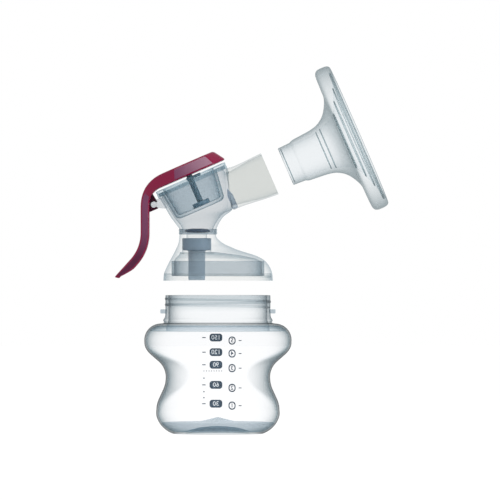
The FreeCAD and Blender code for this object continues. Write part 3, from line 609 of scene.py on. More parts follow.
def gripped(profile, shell, crease, soft, columns):
    """Rings of the profile, cut back by the grips with a smooth minimum whose width grows from `crease` on
    the front and back to `soft` at the sides, by cos⁴."""
    cos, sin = circle_of(columns)
    radius, height = profile[:, :1], profile[:, 1:2]
    limit = grip_limit(height, sin, cos, shell)
    blend = crease + (soft - crease) * cos**4
    h = np.clip(0.5 + 0.5 * (limit - radius) / blend, 0, 1)
    out = limit * (1 - h) + radius * h - blend * h * (1 - h)
    out = np.where(height < GRIPS_END, out, radius)
    return place((0, 0, 0), (out * cos, EAST), (out * sin, ACROSS), (height + 0 * cos, UP))


def bottle_wall(settings):
    """Outside from the base to the lip, over the lip, and the inside back down to the base, as rings, and
    each ring's kind: 0 outside, 1 neck, 2 foot, 3 inside."""
    wall = settings.wall * 1000
    neck = [(NECK_FOOT, NECK_START), (29.0, 58.4), (28.3, 58.9), (28.9, 59.5), (28.9, 60.3), (28.4, 60.9)]
    neck += [(27.9, 62.0), (NECK_RADIUS, 64.6), (NECK_RADIUS, BOTTLE_TOP), (NECK_BORE, BOTTLE_TOP)]
    bore = [(NECK_BORE, 60.0), (27.0, NECK_START - wall), (NECK_FOOT, NECK_START - wall)]
    outside = np.vstack([bottle_side(0.0), rounded(neck + bore, 0.35)[1:-1]])
    outside = spaced(outside, 0.9)
    inside = spaced(bottle_side(wall)[::-1], 0.9)
    kinds = np.where(outside[:, 1] > NECK_START + 0.5, 1, 0)
    kinds[(outside[:, 1] < THICK_FOOT_TOP) & (outside[:, 0] < THICK_FOOT_RADIUS)] = 2
    kinds[len(kinds) - np.argmax(kinds[::-1] == 1) :] = 3
    kinds = np.append(kinds, np.full(len(inside), 3))
    soft = (settings.crease * 1000, settings.blend * 1000, settings.columns)
    return np.concatenate([gripped(outside, 0.0, *soft), gripped(inside, wall, *soft)]), kinds


def thread(radius, start, rise, depth, side=1):
    """A ridge on a helix: its section is an oval of half height 0.62, which fades in and out at the ends."""
    turns = rise / THREAD_PITCH
    angle = np.linspace(0, 2 * math.pi * turns, 420)[:, None]
    fade = np.clip(np.minimum(angle, angle[::-1]) / 0.35, 0.05, 1)
    cos, sin = circle_of(12)
    out = radius + side * depth * fade * (cos * 0.8 + 0.2)
    height = start + THREAD_PITCH * angle / (2 * math.pi) + 0.62 * fade * sin
    return place((0, 0, 0), (out * np.cos(angle), EAST), (out * np.sin(angle), ACROSS), (height, UP))


class PUMP_OT_bottle(Operator):
    """Build the waisted bottle with its two grips, screw thread and side lugs"""

    bl_idname = "pump.bottle"
    bl_label = "Bottle"

    def execute(self, context):
        scene = context.scene
        settings = scene.pump_bottle
        clear = clear_material(scene, "bottle")
        # Painted shade: the neck's passed colour turns greyer from 64 to 70.5 mm up, darker towards the top.
        neck_with_painted_shade = clear_material(scene, "neck", painted_shade_above=(64.0, 70.5, (0.885, 0.905, 0.915)))
        foot = clear_material(scene, "foot")
        inside = clear_material(scene, "inside")
        rings, kinds = bottle_wall(settings)
        wall = put_rings("bottle_wall", rings, False, BOTTLE, clear, "bottle")
        paint(wall, [*kinds[:-1], 2, 3], settings.columns, neck_with_painted_shade, foot, inside)
        ridge = thread(NECK_RADIUS, 66.6, 4.9, settings.thread_depth * 1000)
        put_rings("bottle_thread", ridge, False, BOTTLE, neck_with_painted_shade)
        thick = clear_material(scene, "base")
        base = [(0.05, 4.1), (10.0, 3.4), (PUNT_RADIUS, 1.2), (24.0, 1.2), (29.3, 4.4), (30.2, 6.0)]
        base = smooth(base + [(25.0, 6.2), (9.0, 6.6), (0.05, 8.8)], 2.0, 0.9)
        put_rings("bottle_thick_base", upright(base), False, BOTTLE, thick)
        # A grey ring inside the shoulder, painted shade: it draws the grey band where the shoulder's
        # rounding is seen edge-on.
        ring = [(27.4, 54.4), (35.4, 54.2), (36.2, 55.0), (33.0, 56.8), (27.2, 57.1)]
        ring = upright(smooth(ring, 0.5, 0.9, closed=True))
        put_rings("bottle_shoulder_shade_ring", ring, True, BOTTLE, clear_material(scene, "shoulder"))
        lugs = []
        for side in (-1, 1):
            middle = (side * (NECK_RADIUS + 1.0), 0, 64.65)
            lugs.append((block(middle, (EAST, ACROSS, UP), (1.7, 2.4, 1.1), 0.35), False))
        dress(put_mesh("bottle_lugs", lugs), BOTTLE, thick)
        return {"FINISHED"}


# ---------------------------------------------------------------- printed scale

INK = 0.06
PLATE_X = -1.2
TICK_X = -7.6
CIRCLE_X = 7.4
CIRCLE_TICK_X = 11.7


def on_back(wide, height, lift):
    """Points on the bottle's back wall, `lift` above it: y = sqrt(radius² - x²) + lift."""
    side = bottle_side(0.0)
    radius = np.interp(height, side[PUNT_ROWS:, 1], side[PUNT_ROWS:, 0])
    depth = np.sqrt(np.maximum(radius**2 - wide**2, 1)) + lift
    return np.stack([wide, depth, height], -1)


def wrap_on_back(mesh, middle, height):
    """Bend a flat mesh (x right, y up, z out, millimetres) onto the back wall, read from behind."""
    points = np.zeros(len(mesh.vertices) * 3)
    mesh.vertices.foreach_get("co", points)
    points = points.reshape(-1, 3)
    placed = on_back(middle - points[:, 0], height + points[:, 1], points[:, 2])
    mesh.vertices.foreach_set("co", (placed / 1000).ravel())
    mesh.update()


def words_on_back(words, size, thick, bold, middle, height):
    """A mesh of the words on the back wall, closed front and back; bold is a share of the size."""
    curve = bpy.data.curves.new("words", "FONT")
    curve.body = words
    curve.size = size
    curve.align_x = "CENTER"
    curve.align_y = "CENTER"
    curve.extrude = thick
    curve.offset = size * bold
    helper = add_object("words", curve)
    bpy.context.view_layer.update()
    mesh = bpy.data.meshes.new_from_object(helper.evaluated_get(bpy.context.evaluated_depsgraph_get()))
    bpy.data.objects.remove(helper)
    bpy.data.curves.remove(curve)
    wrap_on_back(mesh, middle, height)
    return mesh


def mark(half_wide, half_high, edge, middle, height, hole=1e-3):
    """A thin rounded plate on the back wall, or a ring with the share `hole` open, as a closed stack."""
    east, north, out_east, out_north = outline_of_box(7, 3)
    size = np.array((hole, 1.0, 1.0, hole))[:, None]
    wide = size * (east * (half_wide - edge) + edge * out_east)
    high = size * (north * (half_high - edge) + edge * out_north)
    lift = np.array((-INK, -INK, INK, INK))[:, None] + 0 * wide
    return on_back(middle - wide, height + high, lift), True


class PUMP_OT_scale(Operator):
    """Print the measuring scale on the bottle's back wall: plain numbers, ticks and dots"""

    bl_idname = "pump.scale"
    bl_label = "Printed scale"

    def execute(self, context):
        colours = context.scene.pump_scale
        ink = solid_material("dark_ink", colours.ink, 0.5, gloss=0.2, wave=900.0)
        light = solid_material("light_ink", colours.light, 0.5, gloss=0.2, wave=900.0)
        plates, numbers, marks = [], [], []
        for amount, height in ((150, 50.4), (120, 42.6), (90, 35.9), (60, 25.2), (30, 15.2)):
            plates.append(mark(3.4, 2.1, 1.5, PLATE_X, height))
            numbers.append(words_on_back(str(amount), 3.3, 0.16, 0.012, PLATE_X, height))
            marks.append(mark(0.95, 0.24, 0.2, TICK_X, height))
        for amount, height in ((5, 48.8), (4, 41.9), (3, 34.1), (2, 23.6), (1, 14.2)):
            marks.append(mark(1.9, 2.2, 1.8, CIRCLE_X, height, 0.7))
            marks.append(mark(0.8, 0.22, 0.2, CIRCLE_TICK_X, height))
            numbers.append(words_on_back(str(amount), 3.0, INK, 0.018, CIRCLE_X, height))
        marks += [mark(0.35, 0.35, 0.3, TICK_X, height) for height in (18.4, 21.6, 28.8)]
        marks += [mark(0.24, 0.24, 0.2, TICK_X + 1.35 * step, 32.6) for step in range(8)]
        dress(put_mesh("scale_plates", plates), BOTTLE, ink)
        dress(put_mesh("scale_marks", marks), BOTTLE, ink)
        for order, words in enumerate(numbers):
            dress(finish_mesh(f"scale_number_{order + 1}", words), BOTTLE, light if order < 5 else ink)
        return {"FINISHED"}


# ---------------------------------------------------------------- pump head

SOCKET_RADIUS = 7.7
COLUMN_RADIUS = 8.8
RIM_RADIUS = 19.9

# Left end and its height over the hood's foot, right end and its height, and half depth.
HEAD_OUTSIDE = (
    (-27.0, 7.4, 27.6, 7.2, 27.2), (-25.4, 10.6, 24.9, 10.8, 25.0), (-23.9, 13.2, 20.2, 13.3, 22.0),
    (-22.4, 16.2, 10.5, 16.2, 16.4), (-20.9, 19.4, 2.2, 19.8, 11.4), (-20.4, 22.4, -0.9, 22.9, 9.8),
    (-20.3, 24.3, -1.0, 24.3, 9.7), (-20.4, 27.5, -0.7, 27.5, 9.8), (-22.4, 30.2, 0.6, 30.7, 11.4),
    (-24.6, 33.0, 3.2, 34.3, 14.6), (-26.2, 35.6, 7.7, 37.1, 17.0), (-28.2, 39.2, 9.4, 41.6, 18.6),
    (-30.3, 42.6, 8.2, 51.2, 19.4),
)
HEAD_INSIDE = (
    (-29.0, 43.0, 6.6, 51.2, 18.1), (-27.0, 39.8, 7.9, 42.0, 17.2), (-24.6, 35.8, 6.0, 37.6, 15.4),
    (-22.6, 32.6, 2.0, 34.8, 12.6), (-20.0, 29.6, -0.6, 31.2, 9.8),
)


def level(height, radius, shift):
    """A level ring of the head as a row: left end, right end (x, z), and half depth."""
    z = HOOD_FOOT + height
    return (-shift - radius, z, -shift + radius, z, radius)


def over_foot(rows):
    """Rows of the head, with both heights counted from the hood's foot."""
    return [(left, HOOD_FOOT + a, right, HOOD_FOOT + b, deep) for left, a, right, b, deep in rows]


def leaning(rise, radius):
    """A ring square to the diaphragm's axis, as a row."""
    left = place(RIM, (-radius, ALONG), (rise, RISE))
    right = place(RIM, (radius, ALONG), (rise, RISE))
    return (left[0], left[2], right[0], right[2], radius)


def row_rings(rows, columns):
    """Ovals between each row's two ends in the plane of symmetry, half depth across it."""
    cos, sin = circle_of(columns)
    left = np.stack([rows[:, 0], 0 * rows[:, 0], rows[:, 1]], 1)
    right = np.stack([rows[:, 2], 0 * rows[:, 0], rows[:, 3]], 1)
    middle, half = (left + right) / 2, (right - left) / 2
    return middle[:, None] + cos[None, :, None] * half[:, None] + (rows[:, 4:5] * sin)[..., None] * ACROSS


def head_shell(settings):
    """The head's wall in one closed loop: skirt, dome, neck ring, throat and chamber outside, then chamber,
    throat, valve socket, column, the dome's room and the skirt's bore inside."""
    bore = HOOD_RADIUS - settings.skirt * 1000
    axis = -VALVE_AXIS
    outside = [level(0.0, HOOD_RADIUS - 0.4, -0.1), level(3.9, HOOD_RADIUS - 0.7, -0.1)]
    outside += over_foot(HEAD_OUTSIDE)
    outside += [leaning(-2.4, RIM_RADIUS - 0.05), leaning(-2.4, RIM_RADIUS - 0.95)]
    outside += [leaning(-0.55, RIM_RADIUS - 0.95)]
    inside = [leaning(-0.55, RIM_RADIUS - 2.1)]
    inside += over_foot(HEAD_INSIDE)
    inside += [level(27.6, 8.2, axis - 0.5), level(25.4, 8.0, axis - 0.3)]
    socket = ((24.9, 5.4), (22.5, 5.4), (22.5, SOCKET_RADIUS), (14.0, SOCKET_RADIUS), (14.0, COLUMN_RADIUS))
    inside += [level(height, radius, axis) for height, radius in socket]
    inside += [level(15.2, COLUMN_RADIUS + 0.3, axis - 0.2), level(14.6, 11.4, axis - 2.6)]
    inside += [level(13.4, 16.6, axis - 7.0), level(11.7, 21.4, 1.2), level(10.2, 23.2, 0.1)]
    skirt = ((3.9, 23.3), (2.5, 23.3), (2.5, 24.4), (3.9, 24.4), (3.9, bore), (0.0, bore))
    inside += [level(height, radius, 0.0) for height, radius in skirt]
    soft = [0, 2.0, 3, 3, 3, 3, 3, 1.5, 0.6, 0.8, 3, 3, 3, 3, 1, 0.2, 0.2, 0.2]
    soft += [0.2, 2, 3, 3, 3, 2, 1.5, 0.4, 0.3, 0.3, 0.3, 0.2, 0.2, 0.8, 1.5, 3, 2, 1.0, 0.5, 0.2, 0.3, 0.3]
    soft += [0.2, 0.1]
    return row_rings(smooth(outside + inside, soft, 1.2, closed=True), settings.columns)


def plug_ring(foot, top, inner, outer):
    """A closed ring of upright walls with rounded edges, about the bottle's axis."""
    section = [(outer, foot), (outer, top), (inner, top), (inner, foot)]
    return upright(smooth(section, 0.3, 0.9, closed=True), z=HOOD_FOOT)


def open_tube_way(shell):
    """Cut the way from the chamber into the cup tube, with a plug along the tube's axis."""
    profile = np.array(((9.5, 10.0), (9.5, 30.0)))
    rings = turned(profile, RIM - TUBE_DROP * RISE, ALONG, ACROSS, 72)
    plug = put_mesh("tube_way", [(rings, False)])
    hole = shell.modifiers.new("Tube way", "BOOLEAN")
    hole.operation = "DIFFERENCE"
    hole.object = plug
    hole.solver = "EXACT"
    bpy.context.view_layer.update()
    graph = bpy.context.evaluated_depsgraph_get()
    opened = bpy.data.meshes.new_from_object(shell.evaluated_get(graph))
    shell.modifiers.clear()
    shell.data = opened
    bpy.data.objects.remove(plug)
    shade(opened, OPENED_EDGE)


class PUMP_OT_head(Operator):
    """Build the clear head: hood, throat and chamber in one wall, with its neck ring, ears and thread"""

    bl_idname = "pump.head"
    bl_label = "Pump head"

    def execute(self, context):
        scene = context.scene
        settings = scene.pump_head
        # Painted shade: the head's passed colour turns greyer from 20 to 29 mm over the hood's foot, darker
        # towards the top.
        head_painted_shade = (HOOD_FOOT + 20.0, HOOD_FOOT + 29.0, (0.895, 0.905, 0.912))
        clear = clear_material(scene, "head", painted_shade_above=head_painted_shade)
        shell = put_mesh("head_shell", [(head_shell(settings), True)])
        open_tube_way(shell)
        dress(shell, HEAD, clear, "hood", "chamber")
        band = [(9.3, 24.4), (10.0, 24.5), (10.15, 25.3), (9.9, 25.9)]
        band += [(10.15, 26.6), (10.0, 27.3), (9.3, 27.4)]
        rings = upright(rounded(band, 0.4, closed=True), VALVE_AXIS + 0.65, HOOD_FOOT, 96)
        milky = clear_material(scene, "plug")
        put_rings("neck_ring", rings, True, HEAD, milky)
        put_rings("hood_plug", plug_ring(2.45, 10.4, 23.35, 24.5), True, HEAD, milky)
        bore = HOOD_RADIUS - settings.skirt * 1000
        ridge = thread(bore + 0.1, HOOD_FOOT + 1.9, 1.4, 0.3, -1)
        put_rings("hood_thread", ridge, False, HEAD, clear)
        corners = [(-25.4, -2.75), (-25.4, -6.75), (-23.2, -6.75)]
        corners += [(-17.6, -9.6), (-17.6, -2.7), (-22.6, -2.75)]
        ear = rounded(corners, (2.2, 2.2, 1.0, 0.2, 0.2, 1.0), closed=True)
        for word, low in (("near", -8.2), ("far", 6.0)):
            dress(put_plate(f"ear_{word}", ear, low, low + 2.2, RIM, ALONG, RISE, ACROSS), HEAD, clear)
        return {"FINISHED"}


TUBE_END = 39.3
TUBE_ROOT = 19.0
WEIR_BEND = 1.75
WEIR_RADIUS = 8.6


def tube_rings():
    """The tube's wall about its own axis. Towards its root the lowest side is drawn in: with s the squared
    share of the way from the end to the root, each point moves by -5 s (1 + cos)/2 along and -1.9 s
    (1 + cos)/2 out, with cos = 1 at the lowest side."""
    outline = [(11.8, TUBE_END), (11.8, 38.6), (11.1, 24.0), (11.6, 20.4), (12.0, 19.3), (10.0, 18.2)]
    outline += [(9.6, 20.0), (10.0, 25.0), (10.8, 31.5), (11.05, 38.0), (11.15, TUBE_END)]
    profile = smooth(outline, (0.2, 0.4, 5, 2, 0.5, 0.5, 1, 3, 2, 0.5, 0.2), 0.8, closed=True)
    cos, sin = circle_of(FINE_COLUMNS)
    drawn = np.clip((TUBE_END - profile[:, 1:2]) / (TUBE_END - TUBE_ROOT), 0, 1) ** 2
    along = profile[:, 1:2] - drawn * 5.0 * (1 + cos) / 2
    radius = profile[:, :1] - drawn * 1.9 * (1 + cos) / 2
    return place(RIM - TUBE_DROP * RISE, (along, ALONG), (-radius * cos, RISE), (radius * sin, ACROSS))


def weir_rings():
    """A crescent about the tube's root: boxes along an arc of ±WEIR_BEND radians, thinned to its ends."""
    bend = np.linspace(-WEIR_BEND, WEIR_BEND, 25)
    root = RIM + 15.5 * ALONG - TUBE_DROP * RISE
    middles = place(root, (WEIR_RADIUS * np.sin(bend), ACROSS), (-WEIR_RADIUS * np.cos(bend), RISE))
    thin = np.clip(0.05 + 2.5 * np.sin(np.linspace(0, math.pi, 25)), 0, 1)
    across = np.cos(bend)[:, None] * RISE - np.sin(bend)[:, None] * ACROSS
    return box_rings(middles, ALONG, across, 1.5 * thin, 1.1 * thin, 0.9 * thin)


class PUMP_OT_cup_tube(Operator):
    """Build the tube that the funnel cup is pushed into, and the crescent lip at its root"""

    bl_idname = "pump.cup_tube"
    bl_label = "Cup tube"

    def execute(self, context):
        clear = clear_material(context.scene, "tube")
        weir = clear_material(context.scene, "weir")
        put_rings("cup_tube_wall", tube_rings(), True, HEAD, clear, "cup_tube")
        put_rings("tube_weir", weir_rings(), False, HEAD, weir)
        return {"FINISHED"}


# ---------------------------------------------------------------- valve, diaphragm, hub and stem


SOFT_BUMP = 0.00008
RIB_PITCH = 2.4
BILL_TOP = 15.8

# Height over the hood's foot, half width and half thickness: up the outside from the lips, and down inside.
VALVE_ROWS = (
    (0.35, 4.1, 0.45), (0.3, 4.4, 0.75), (1.2, 4.45, 0.95), (8.0, 4.45, 2.7), (15.4, 4.45, 4.3),
    (16.0, 5.0, 5.0), (16.0, 7.2, 7.2), (16.4, 7.6, 7.6), (22.1, 7.6, 7.6), (22.5, 7.2, 7.2),
    (22.5, 3.7, 3.7), (22.1, 3.35, 3.35), (16.0, 3.35, 3.35), (8.0, 3.35, 1.7), (1.6, 3.35, 0.22),
    (1.45, 3.2, 0.18),
)

# Radius, height over the rim and shift along the tube: under the cup, round the flange, and down inside.
DIAPHRAGM_ROWS = (
    (0.6, -17.1, -1.5), (13.7, -17.1, -1.5), (15.9, -0.55, -1.5), (19.02, -0.55, 0.0), (19.02, -2.4, 0.0),
    (19.9, -2.4, 0.0), (19.9, -0.9, 0.0), (19.6, -0.6, 0.0), (19.9, -0.3, 0.0), (19.9, 0.9, 0.0),
    (18.6, 0.9, 0.0), (18.2, 0.55, 0.0), (15.6, 0.55, -1.4), (14.5, 0.55, -1.5), (12.3, -15.4, -1.5),
    (0.6, -15.4, -1.5),
)
FLANGE_INNER = 15.2
FLANGE_FOOT = -2.6


def bill_rings(heights, wide, thin, power):
    """Ovals |x/wide|^p + |y/thin|^p = 1 about the valve's axis, one for each height."""
    cos, sin = circle_of(96)
    bend = 2 / np.asarray(power, float)[:, None]
    x = np.asarray(wide)[:, None] * np.sign(cos) * np.abs(cos) ** bend
    y = np.asarray(thin)[:, None] * np.sign(sin) * np.abs(sin) ** bend
    z = HOOD_FOOT + np.asarray(heights)[:, None] + 0 * x
    return place((VALVE_AXIS, 0, 0), (x, EAST), (y, ACROSS), (z, UP))


class PUMP_OT_valve(Operator):
    """Build the silicone valve: a round collar over a duckbill that runs out to two flat lips"""

    bl_idname = "pump.valve"
    bl_label = "Valve"

    def execute(self, context):
        scene = context.scene
        rubber = clear_material(scene, "silicone", 500.0, SOFT_BUMP)
        line = smooth(VALVE_ROWS, 0.4, 0.7)
        height, wide, thin = line.T
        ribs = 0.07 * np.clip(np.sin(height * 2 * math.pi / RIB_PITCH), 0, 1) * (height < 15) * (wide > 4.2)
        rings = bill_rings(height, wide - ribs, thin + ribs, np.where(height < 1.3, 2.6, 2.0))
        body = put_rings("valve_body", rings, False, VALVE, rubber, "valve")
        paler = clear_material(scene, "bill", 500.0, SOFT_BUMP)
        paint(body, [*(height[1:] < BILL_TOP), 1, 1], 96, paler)
        seal = [(0.05, 25.3), (5.6, 25.5), (7.2, 26.2), (5.6, 27.2), (3.2, 27.6), (0.05, 27.4)]
        line = smooth(seal, (0, 1.2, 0.5, 1.2, 1.0, 0), 0.6)
        dark = clear_material(scene, "seal", 500.0, SOFT_BUMP)
        put_rings("valve_seal", upright(line, VALVE_AXIS + 0.4, HOOD_FOOT, 72), False, VALVE, dark)
        return {"FINISHED"}


class PUMP_OT_diaphragm(Operator):
    """Build the silicone diaphragm: a flange on the chamber's rim and a deep cup that the stem lifts"""

    bl_idname = "pump.diaphragm"
    bl_label = "Diaphragm"

    def execute(self, context):
        rubber = clear_material(context.scene, "diaphragm", 260.0, SOFT_BUMP)
        reach = (0, 2.6, 1.0, 0.2, 0.2, 0.2, 0.2, 0.2, 0.2, 0.3, 0.3, 0.3, 0.4, 0.8, 1.6, 0)
        line = smooth(DIAPHRAGM_ROWS, reach, 0.7)
        rings = turned(line[:, :2], RIM, RISE, ALONG, 128, line[:, 2])
        cup = put_mesh("diaphragm_cup", [(rings, False)])
        flange = (line[:, 0] > FLANGE_INNER) & (line[:, 1] > FLANGE_FOOT)
        thin = clear_material(context.scene, "flange", 260.0, SOFT_BUMP)
        paint(cup, [*(flange[1:] & flange[:-1]), 0, 0], 128, rubber, thin)
        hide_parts("diaphragm")
        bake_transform(cup)
        return {"FINISHED"}


STEM_ALONG = -0.2
STEM_FOOT = -14.4
STEM_PIN = 4.4


class PUMP_OT_stem(Operator):
    """Build the stem with its plate and cross pin, and the hub that holds its foot"""

    bl_idname = "pump.stem"
    bl_label = "Stem and hub"

    def execute(self, context):
        slate = solid_material("slate_plastic", context.scene.pump_stem.colour, 0.38)
        axis = RIM + STEM_ALONG * ALONG
        rod = [(0.05, STEM_FOOT), (1.1, STEM_FOOT + 0.2), (1.6, STEM_FOOT + 1.3)]
        rod += [(1.6, -8.0), (1.6, STEM_PIN)]
        rod = turned(smooth(rod, 0.6, 0.7), axis, RISE, ALONG, 48)
        plate = axis + 1.9 * ALONG + 0.45 * RISE
        plate = block(plate, (ALONG, ACROSS, RISE), (4.0, 3.5, 0.75), 0.3)
        pin = smooth([(0.02, -5.0), (1.3, -5.0), (1.3, 5.0), (0.02, 5.0)], 0.25, 1.0)
        pin = turned(pin, axis + STEM_PIN * RISE, ACROSS, EAST, 40)
        dress(put_mesh("stem_rod", [(rod, False), (plate, False), (pin, False)]), STEM, slate, "stem")
        hub = [(0.05, 0.0), (4.7, 0.0), (4.7, 2.4), (2.6, 2.4), (2.6, 0.7), (0.05, 0.7)]
        rings = turned(smooth(hub, 0.35, 0.6), axis - 15.4 * RISE, RISE, ALONG, 72)
        # Painted light: the hub gets a paler copy of the stem's slate.
        painted_light_slate = solid_material("slate_hub", context.scene.pump_stem.foot, 0.38)
        put_rings("hub_disc", rings, False, HUB, painted_light_slate, "diaphragm_hub")
        return {"FINISHED"}


# ---------------------------------------------------------------- handle

CAP_LOW = 2.0
CAP_HIGH = 8.5
CAP_FRONT = 20.9
CAP_SLOPE = 4.3
LEVER_IN = PIVOT[0] - 2.25
LEVER_OUT = LEVER_IN - 4.7
LEVER_STRAIGHT = 14.7
LEVER_TURN = math.radians(42.0)
LEVER_TAIL = 12.5
LOWER_BEND = 21.5
TIP_SLANT = 2.6
SLIM_REACH = 9.0
CLAW_BORE = 1.68
CLAW_WALL = 1.9
PLANE = np.array(((1.0, 0.0, 0.0), (0.0, 0.0, 1.0)))


def side_line(face, front, tail_in):
    """One long side of the handle in the plane of symmetry: front end, shoulder corner, bend corner, tip."""
    lean = math.atan2(ALONG[2], ALONG[0])
    start = place(RIM, (front, ALONG), (face, RISE))
    out = LEVER_OUT if face == CAP_HIGH else LEVER_IN
    corner = RIM[2] + (face + (out - RIM[0]) * math.sin(lean)) / math.cos(lean)
    bend = LOWER_BEND + (0 if face == CAP_HIGH else LEVER_IN - LEVER_OUT)
    reach = bend * math.tan(LEVER_TURN / 2)
    knee = PIVOT[2] - LEVER_STRAIGHT - reach
    down = reach + LEVER_TAIL - tail_in
    tip = (out - down * math.sin(LEVER_TURN), knee - down * math.cos(LEVER_TURN))
    shoulder = (19.5 if face == CAP_HIGH else 10.0) * math.tan((math.pi / 2 - lean) / 2)
    return rounded([(start[0], start[2]), (out, corner), (out, knee), tip], (0, shoulder, reach, 0), 14)


def end_rows(line, first, beside, edge):
    """Rows from an end of the line, `edge` deep, closer together towards the end."""
    turn = np.linspace(0, math.pi / 2, 5)[:, None]
    step = (line[beside] - line[first]) / np.linalg.norm((line[beside] - line[first])[:2])
    return line[first] + step * edge * (1 - np.sin(turn))


def handle_rings(edge):
    """Rounded rectangles between the two long sides; half width follows the plan: lever, waist, cap, nose.
    The tail thins over its last SLIM_REACH, by 1 - 0.55 (1 - distance/SLIM_REACH)^1.5."""
    outer = side_line(CAP_HIGH, CAP_FRONT - CAP_SLOPE, 0.0)
    inner = side_line(CAP_LOW, CAP_FRONT, TIP_SLANT)
    line = spaced(np.hstack([outer, inner]), 1.0)
    head, tail = end_rows(line, 0, 1, edge), end_rows(line, -1, -2, edge)[::-1]
    draw = edge * (1 - np.cos(np.linspace(0, math.pi / 2, 5)))
    rows = np.vstack([head[:1], head, line[2:-2], tail, tail[-1:]])
    draw = np.concatenate([[1.8 * edge], draw, np.zeros(len(line) - 4), draw[::-1], [1.8 * edge]])
    outer, inner = rows[:, :2] @ PLANE, rows[:, 2:] @ PLANE
    distance = np.linalg.norm(outer - outer[-1], axis=1)
    slim = 1 - 0.55 * np.clip(1 - distance / SLIM_REACH, 0, 1) ** 1.5
    inner = outer + (inner - outer) * slim[:, None]
    middle, thick = (outer + inner) / 2, np.linalg.norm(outer - inner, axis=1)
    way = (outer - inner) / thick[:, None]
    along = (middle - RIM) @ ALONG
    wide = np.interp(along, (-30.0, -25.0, -7.0, 13.0, 20.0), (9.0, 9.0, 17.5, 17.5, 10.0))
    return box_rings(middle, ACROSS, way, wide - draw, thick / 2 - draw * slim, edge * slim)


def handle_material(settings):
    """Burgundy gloss. Where the surface faces sideways, by |normal.y| from 0.93 to 0.99, it turns rougher
    and
    its colour turns to mauve: painted sheen, the white gloss of the flat sides painted into their colour.
    The painted sheen brightens along the cap towards its front end, a painted highlight, and deepens towards
    the lever's tip."""
    made, tree = blank_material("burgundy_plastic")
    cloud = noise(tree, 90.0, 3.0)
    normal = add(tree, "NewGeometry").outputs["Normal"]
    sideways = math_node(tree, "ABSOLUTE", add(tree, "SeparateXYZ", {0: normal}).outputs[1])
    flat = {"Value": sideways, "From Min": 0.93, "From Max": 0.99}
    # Sideways faces: there the roughness rises, a real satin finish, and the colour turns to painted sheen.
    satin = add(tree, "MapRange", flat, interpolation_type="SMOOTHSTEP").outputs["Result"]
    deep = mixed(tree, cloud, [part * 0.85 for part in settings.colour], settings.colour)
    start = float(RIM @ ALONG)
    # The painted sheen dims downwards towards the lever's tip and brightens along the cap to a painted
    # highlight at its front end.
    low = mixed(tree, along_axis(tree, UP, PIVOT[2] - 30, PIVOT[2] - 12), settings.tail, settings.satin)
    mauve = mixed(tree, along_axis(tree, ALONG, start - 9, start + 13), low, settings.bright)
    tone = mixed(tree, cloud, (0.85, 0.85, 0.85), (1.1, 1.1, 1.1))
    mauve = add(tree, "VectorMath", {0: mauve, 1: tone}, operation="MULTIPLY").outputs[0]
    principled = {
        "Base Color": mixed(tree, satin, deep, mauve),
        "Roughness": spread(tree, satin, settings.roughness, 0.42),
        "IOR": 1.45,
        "Specular IOR Level": 0.25,
        "Coat Weight": 0.08,
        "Coat Roughness": 0.1,
        "Normal": bump(tree, noise(tree, 700.0, 3.0), 0.4, 0.00003),
    }
    show(tree, "Material", add(tree, "BsdfPrincipled", principled))
    return made


class PUMP_OT_handle(Operator):
    """Build the burgundy handle with the claw that snaps over the pivot bar"""

    bl_idname = "pump.handle"
    bl_label = "Handle"

    def execute(self, context):
        settings = context.scene.pump_handle
        gloss = handle_material(settings)
        put_rings("handle_bar", handle_rings(settings.edge * 1000), False, HANDLE, gloss, "handle")
        root = LEVER_IN - PIVOT[0] - 1.5
        swing = np.linspace(math.radians(40), math.radians(320), 40)
        hollow = CLAW_BORE * np.stack([np.cos(swing), np.sin(swing)], 1)
        corners = [(CLAW_BORE + CLAW_WALL / 3, -CLAW_BORE - CLAW_WALL / 6), (root, -4.6), (root, 6.0)]
        corners += [(-CLAW_WALL / 3, 6.0), (-CLAW_WALL / 6, 5.1), (CLAW_BORE, CLAW_BORE + CLAW_WALL / 8)]
        outline = np.vstack([hollow, rounded(corners, (0.3, 0.2, 0.2, 0.4, 0.4, 0.3), closed=True)])
        claw = put_plate("handle_claw", outline, -5.5, 5.5, PIVOT, EAST, UP, ACROSS)
        # Painted shade: the claw gets a darker copy of the burgundy, for the gap it sits in.
        dress(claw, HANDLE, solid_material("burgundy_claw_painted_shade", settings.claw, 0.4, wave=400.0, gloss=0.12))
        return {"FINISHED"}


class PUMP_OT_pivot_bar(Operator):
    """Build the bar between the two ears that the handle turns on"""

    bl_idname = "pump.pivot_bar"
    bl_label = "Pivot bar"

    def execute(self, context):
        clear = clear_material(context.scene, "bar")
        profile = smooth([(0.02, -6.0), (1.6, -6.0), (1.6, 6.0), (0.02, 6.0)], 0.15, 1.0)
        put_rings("pivot_rod", turned(profile, PIVOT, ACROSS, EAST, 48), False, HEAD, clear, "pivot_bar")
        return {"FINISHED"}


# ---------------------------------------------------------------- funnel cup

CUP_START = 48.5
BOWL_RADIUS = 36.2

# Radius, distance along the axis and how far the corner is rounded: outside from the seat, and inside back.
CUP_ROWS = (
    (9.3, 0.0, 0.3), (10.5, 0.0, 0.3), (10.8, 6.8, 0.3), (11.6, 8.4, 0.8), (12.5, 19.5, 3.0),
    (13.7, 24.2, 3.0), (17.2, 29.0, 4.0), (24.5, 33.0, 5.0), (30.0, 33.4, 2.0), (40.4, 33.4, 3.6),
    (40.4, 42.3, 3.6), (36.4, 42.3, 0.5), (35.9, 41.5, 0.4), (34.0, 41.3, 1.0), (20.5, 36.6, 5.0),
    (15.4, 34.0, 1.2), (13.2, 30.6, 2.0), (10.6, 22.4, 2.0), (10.0, 19.4, 1.0), (9.6, 18.6, 0.8),
)

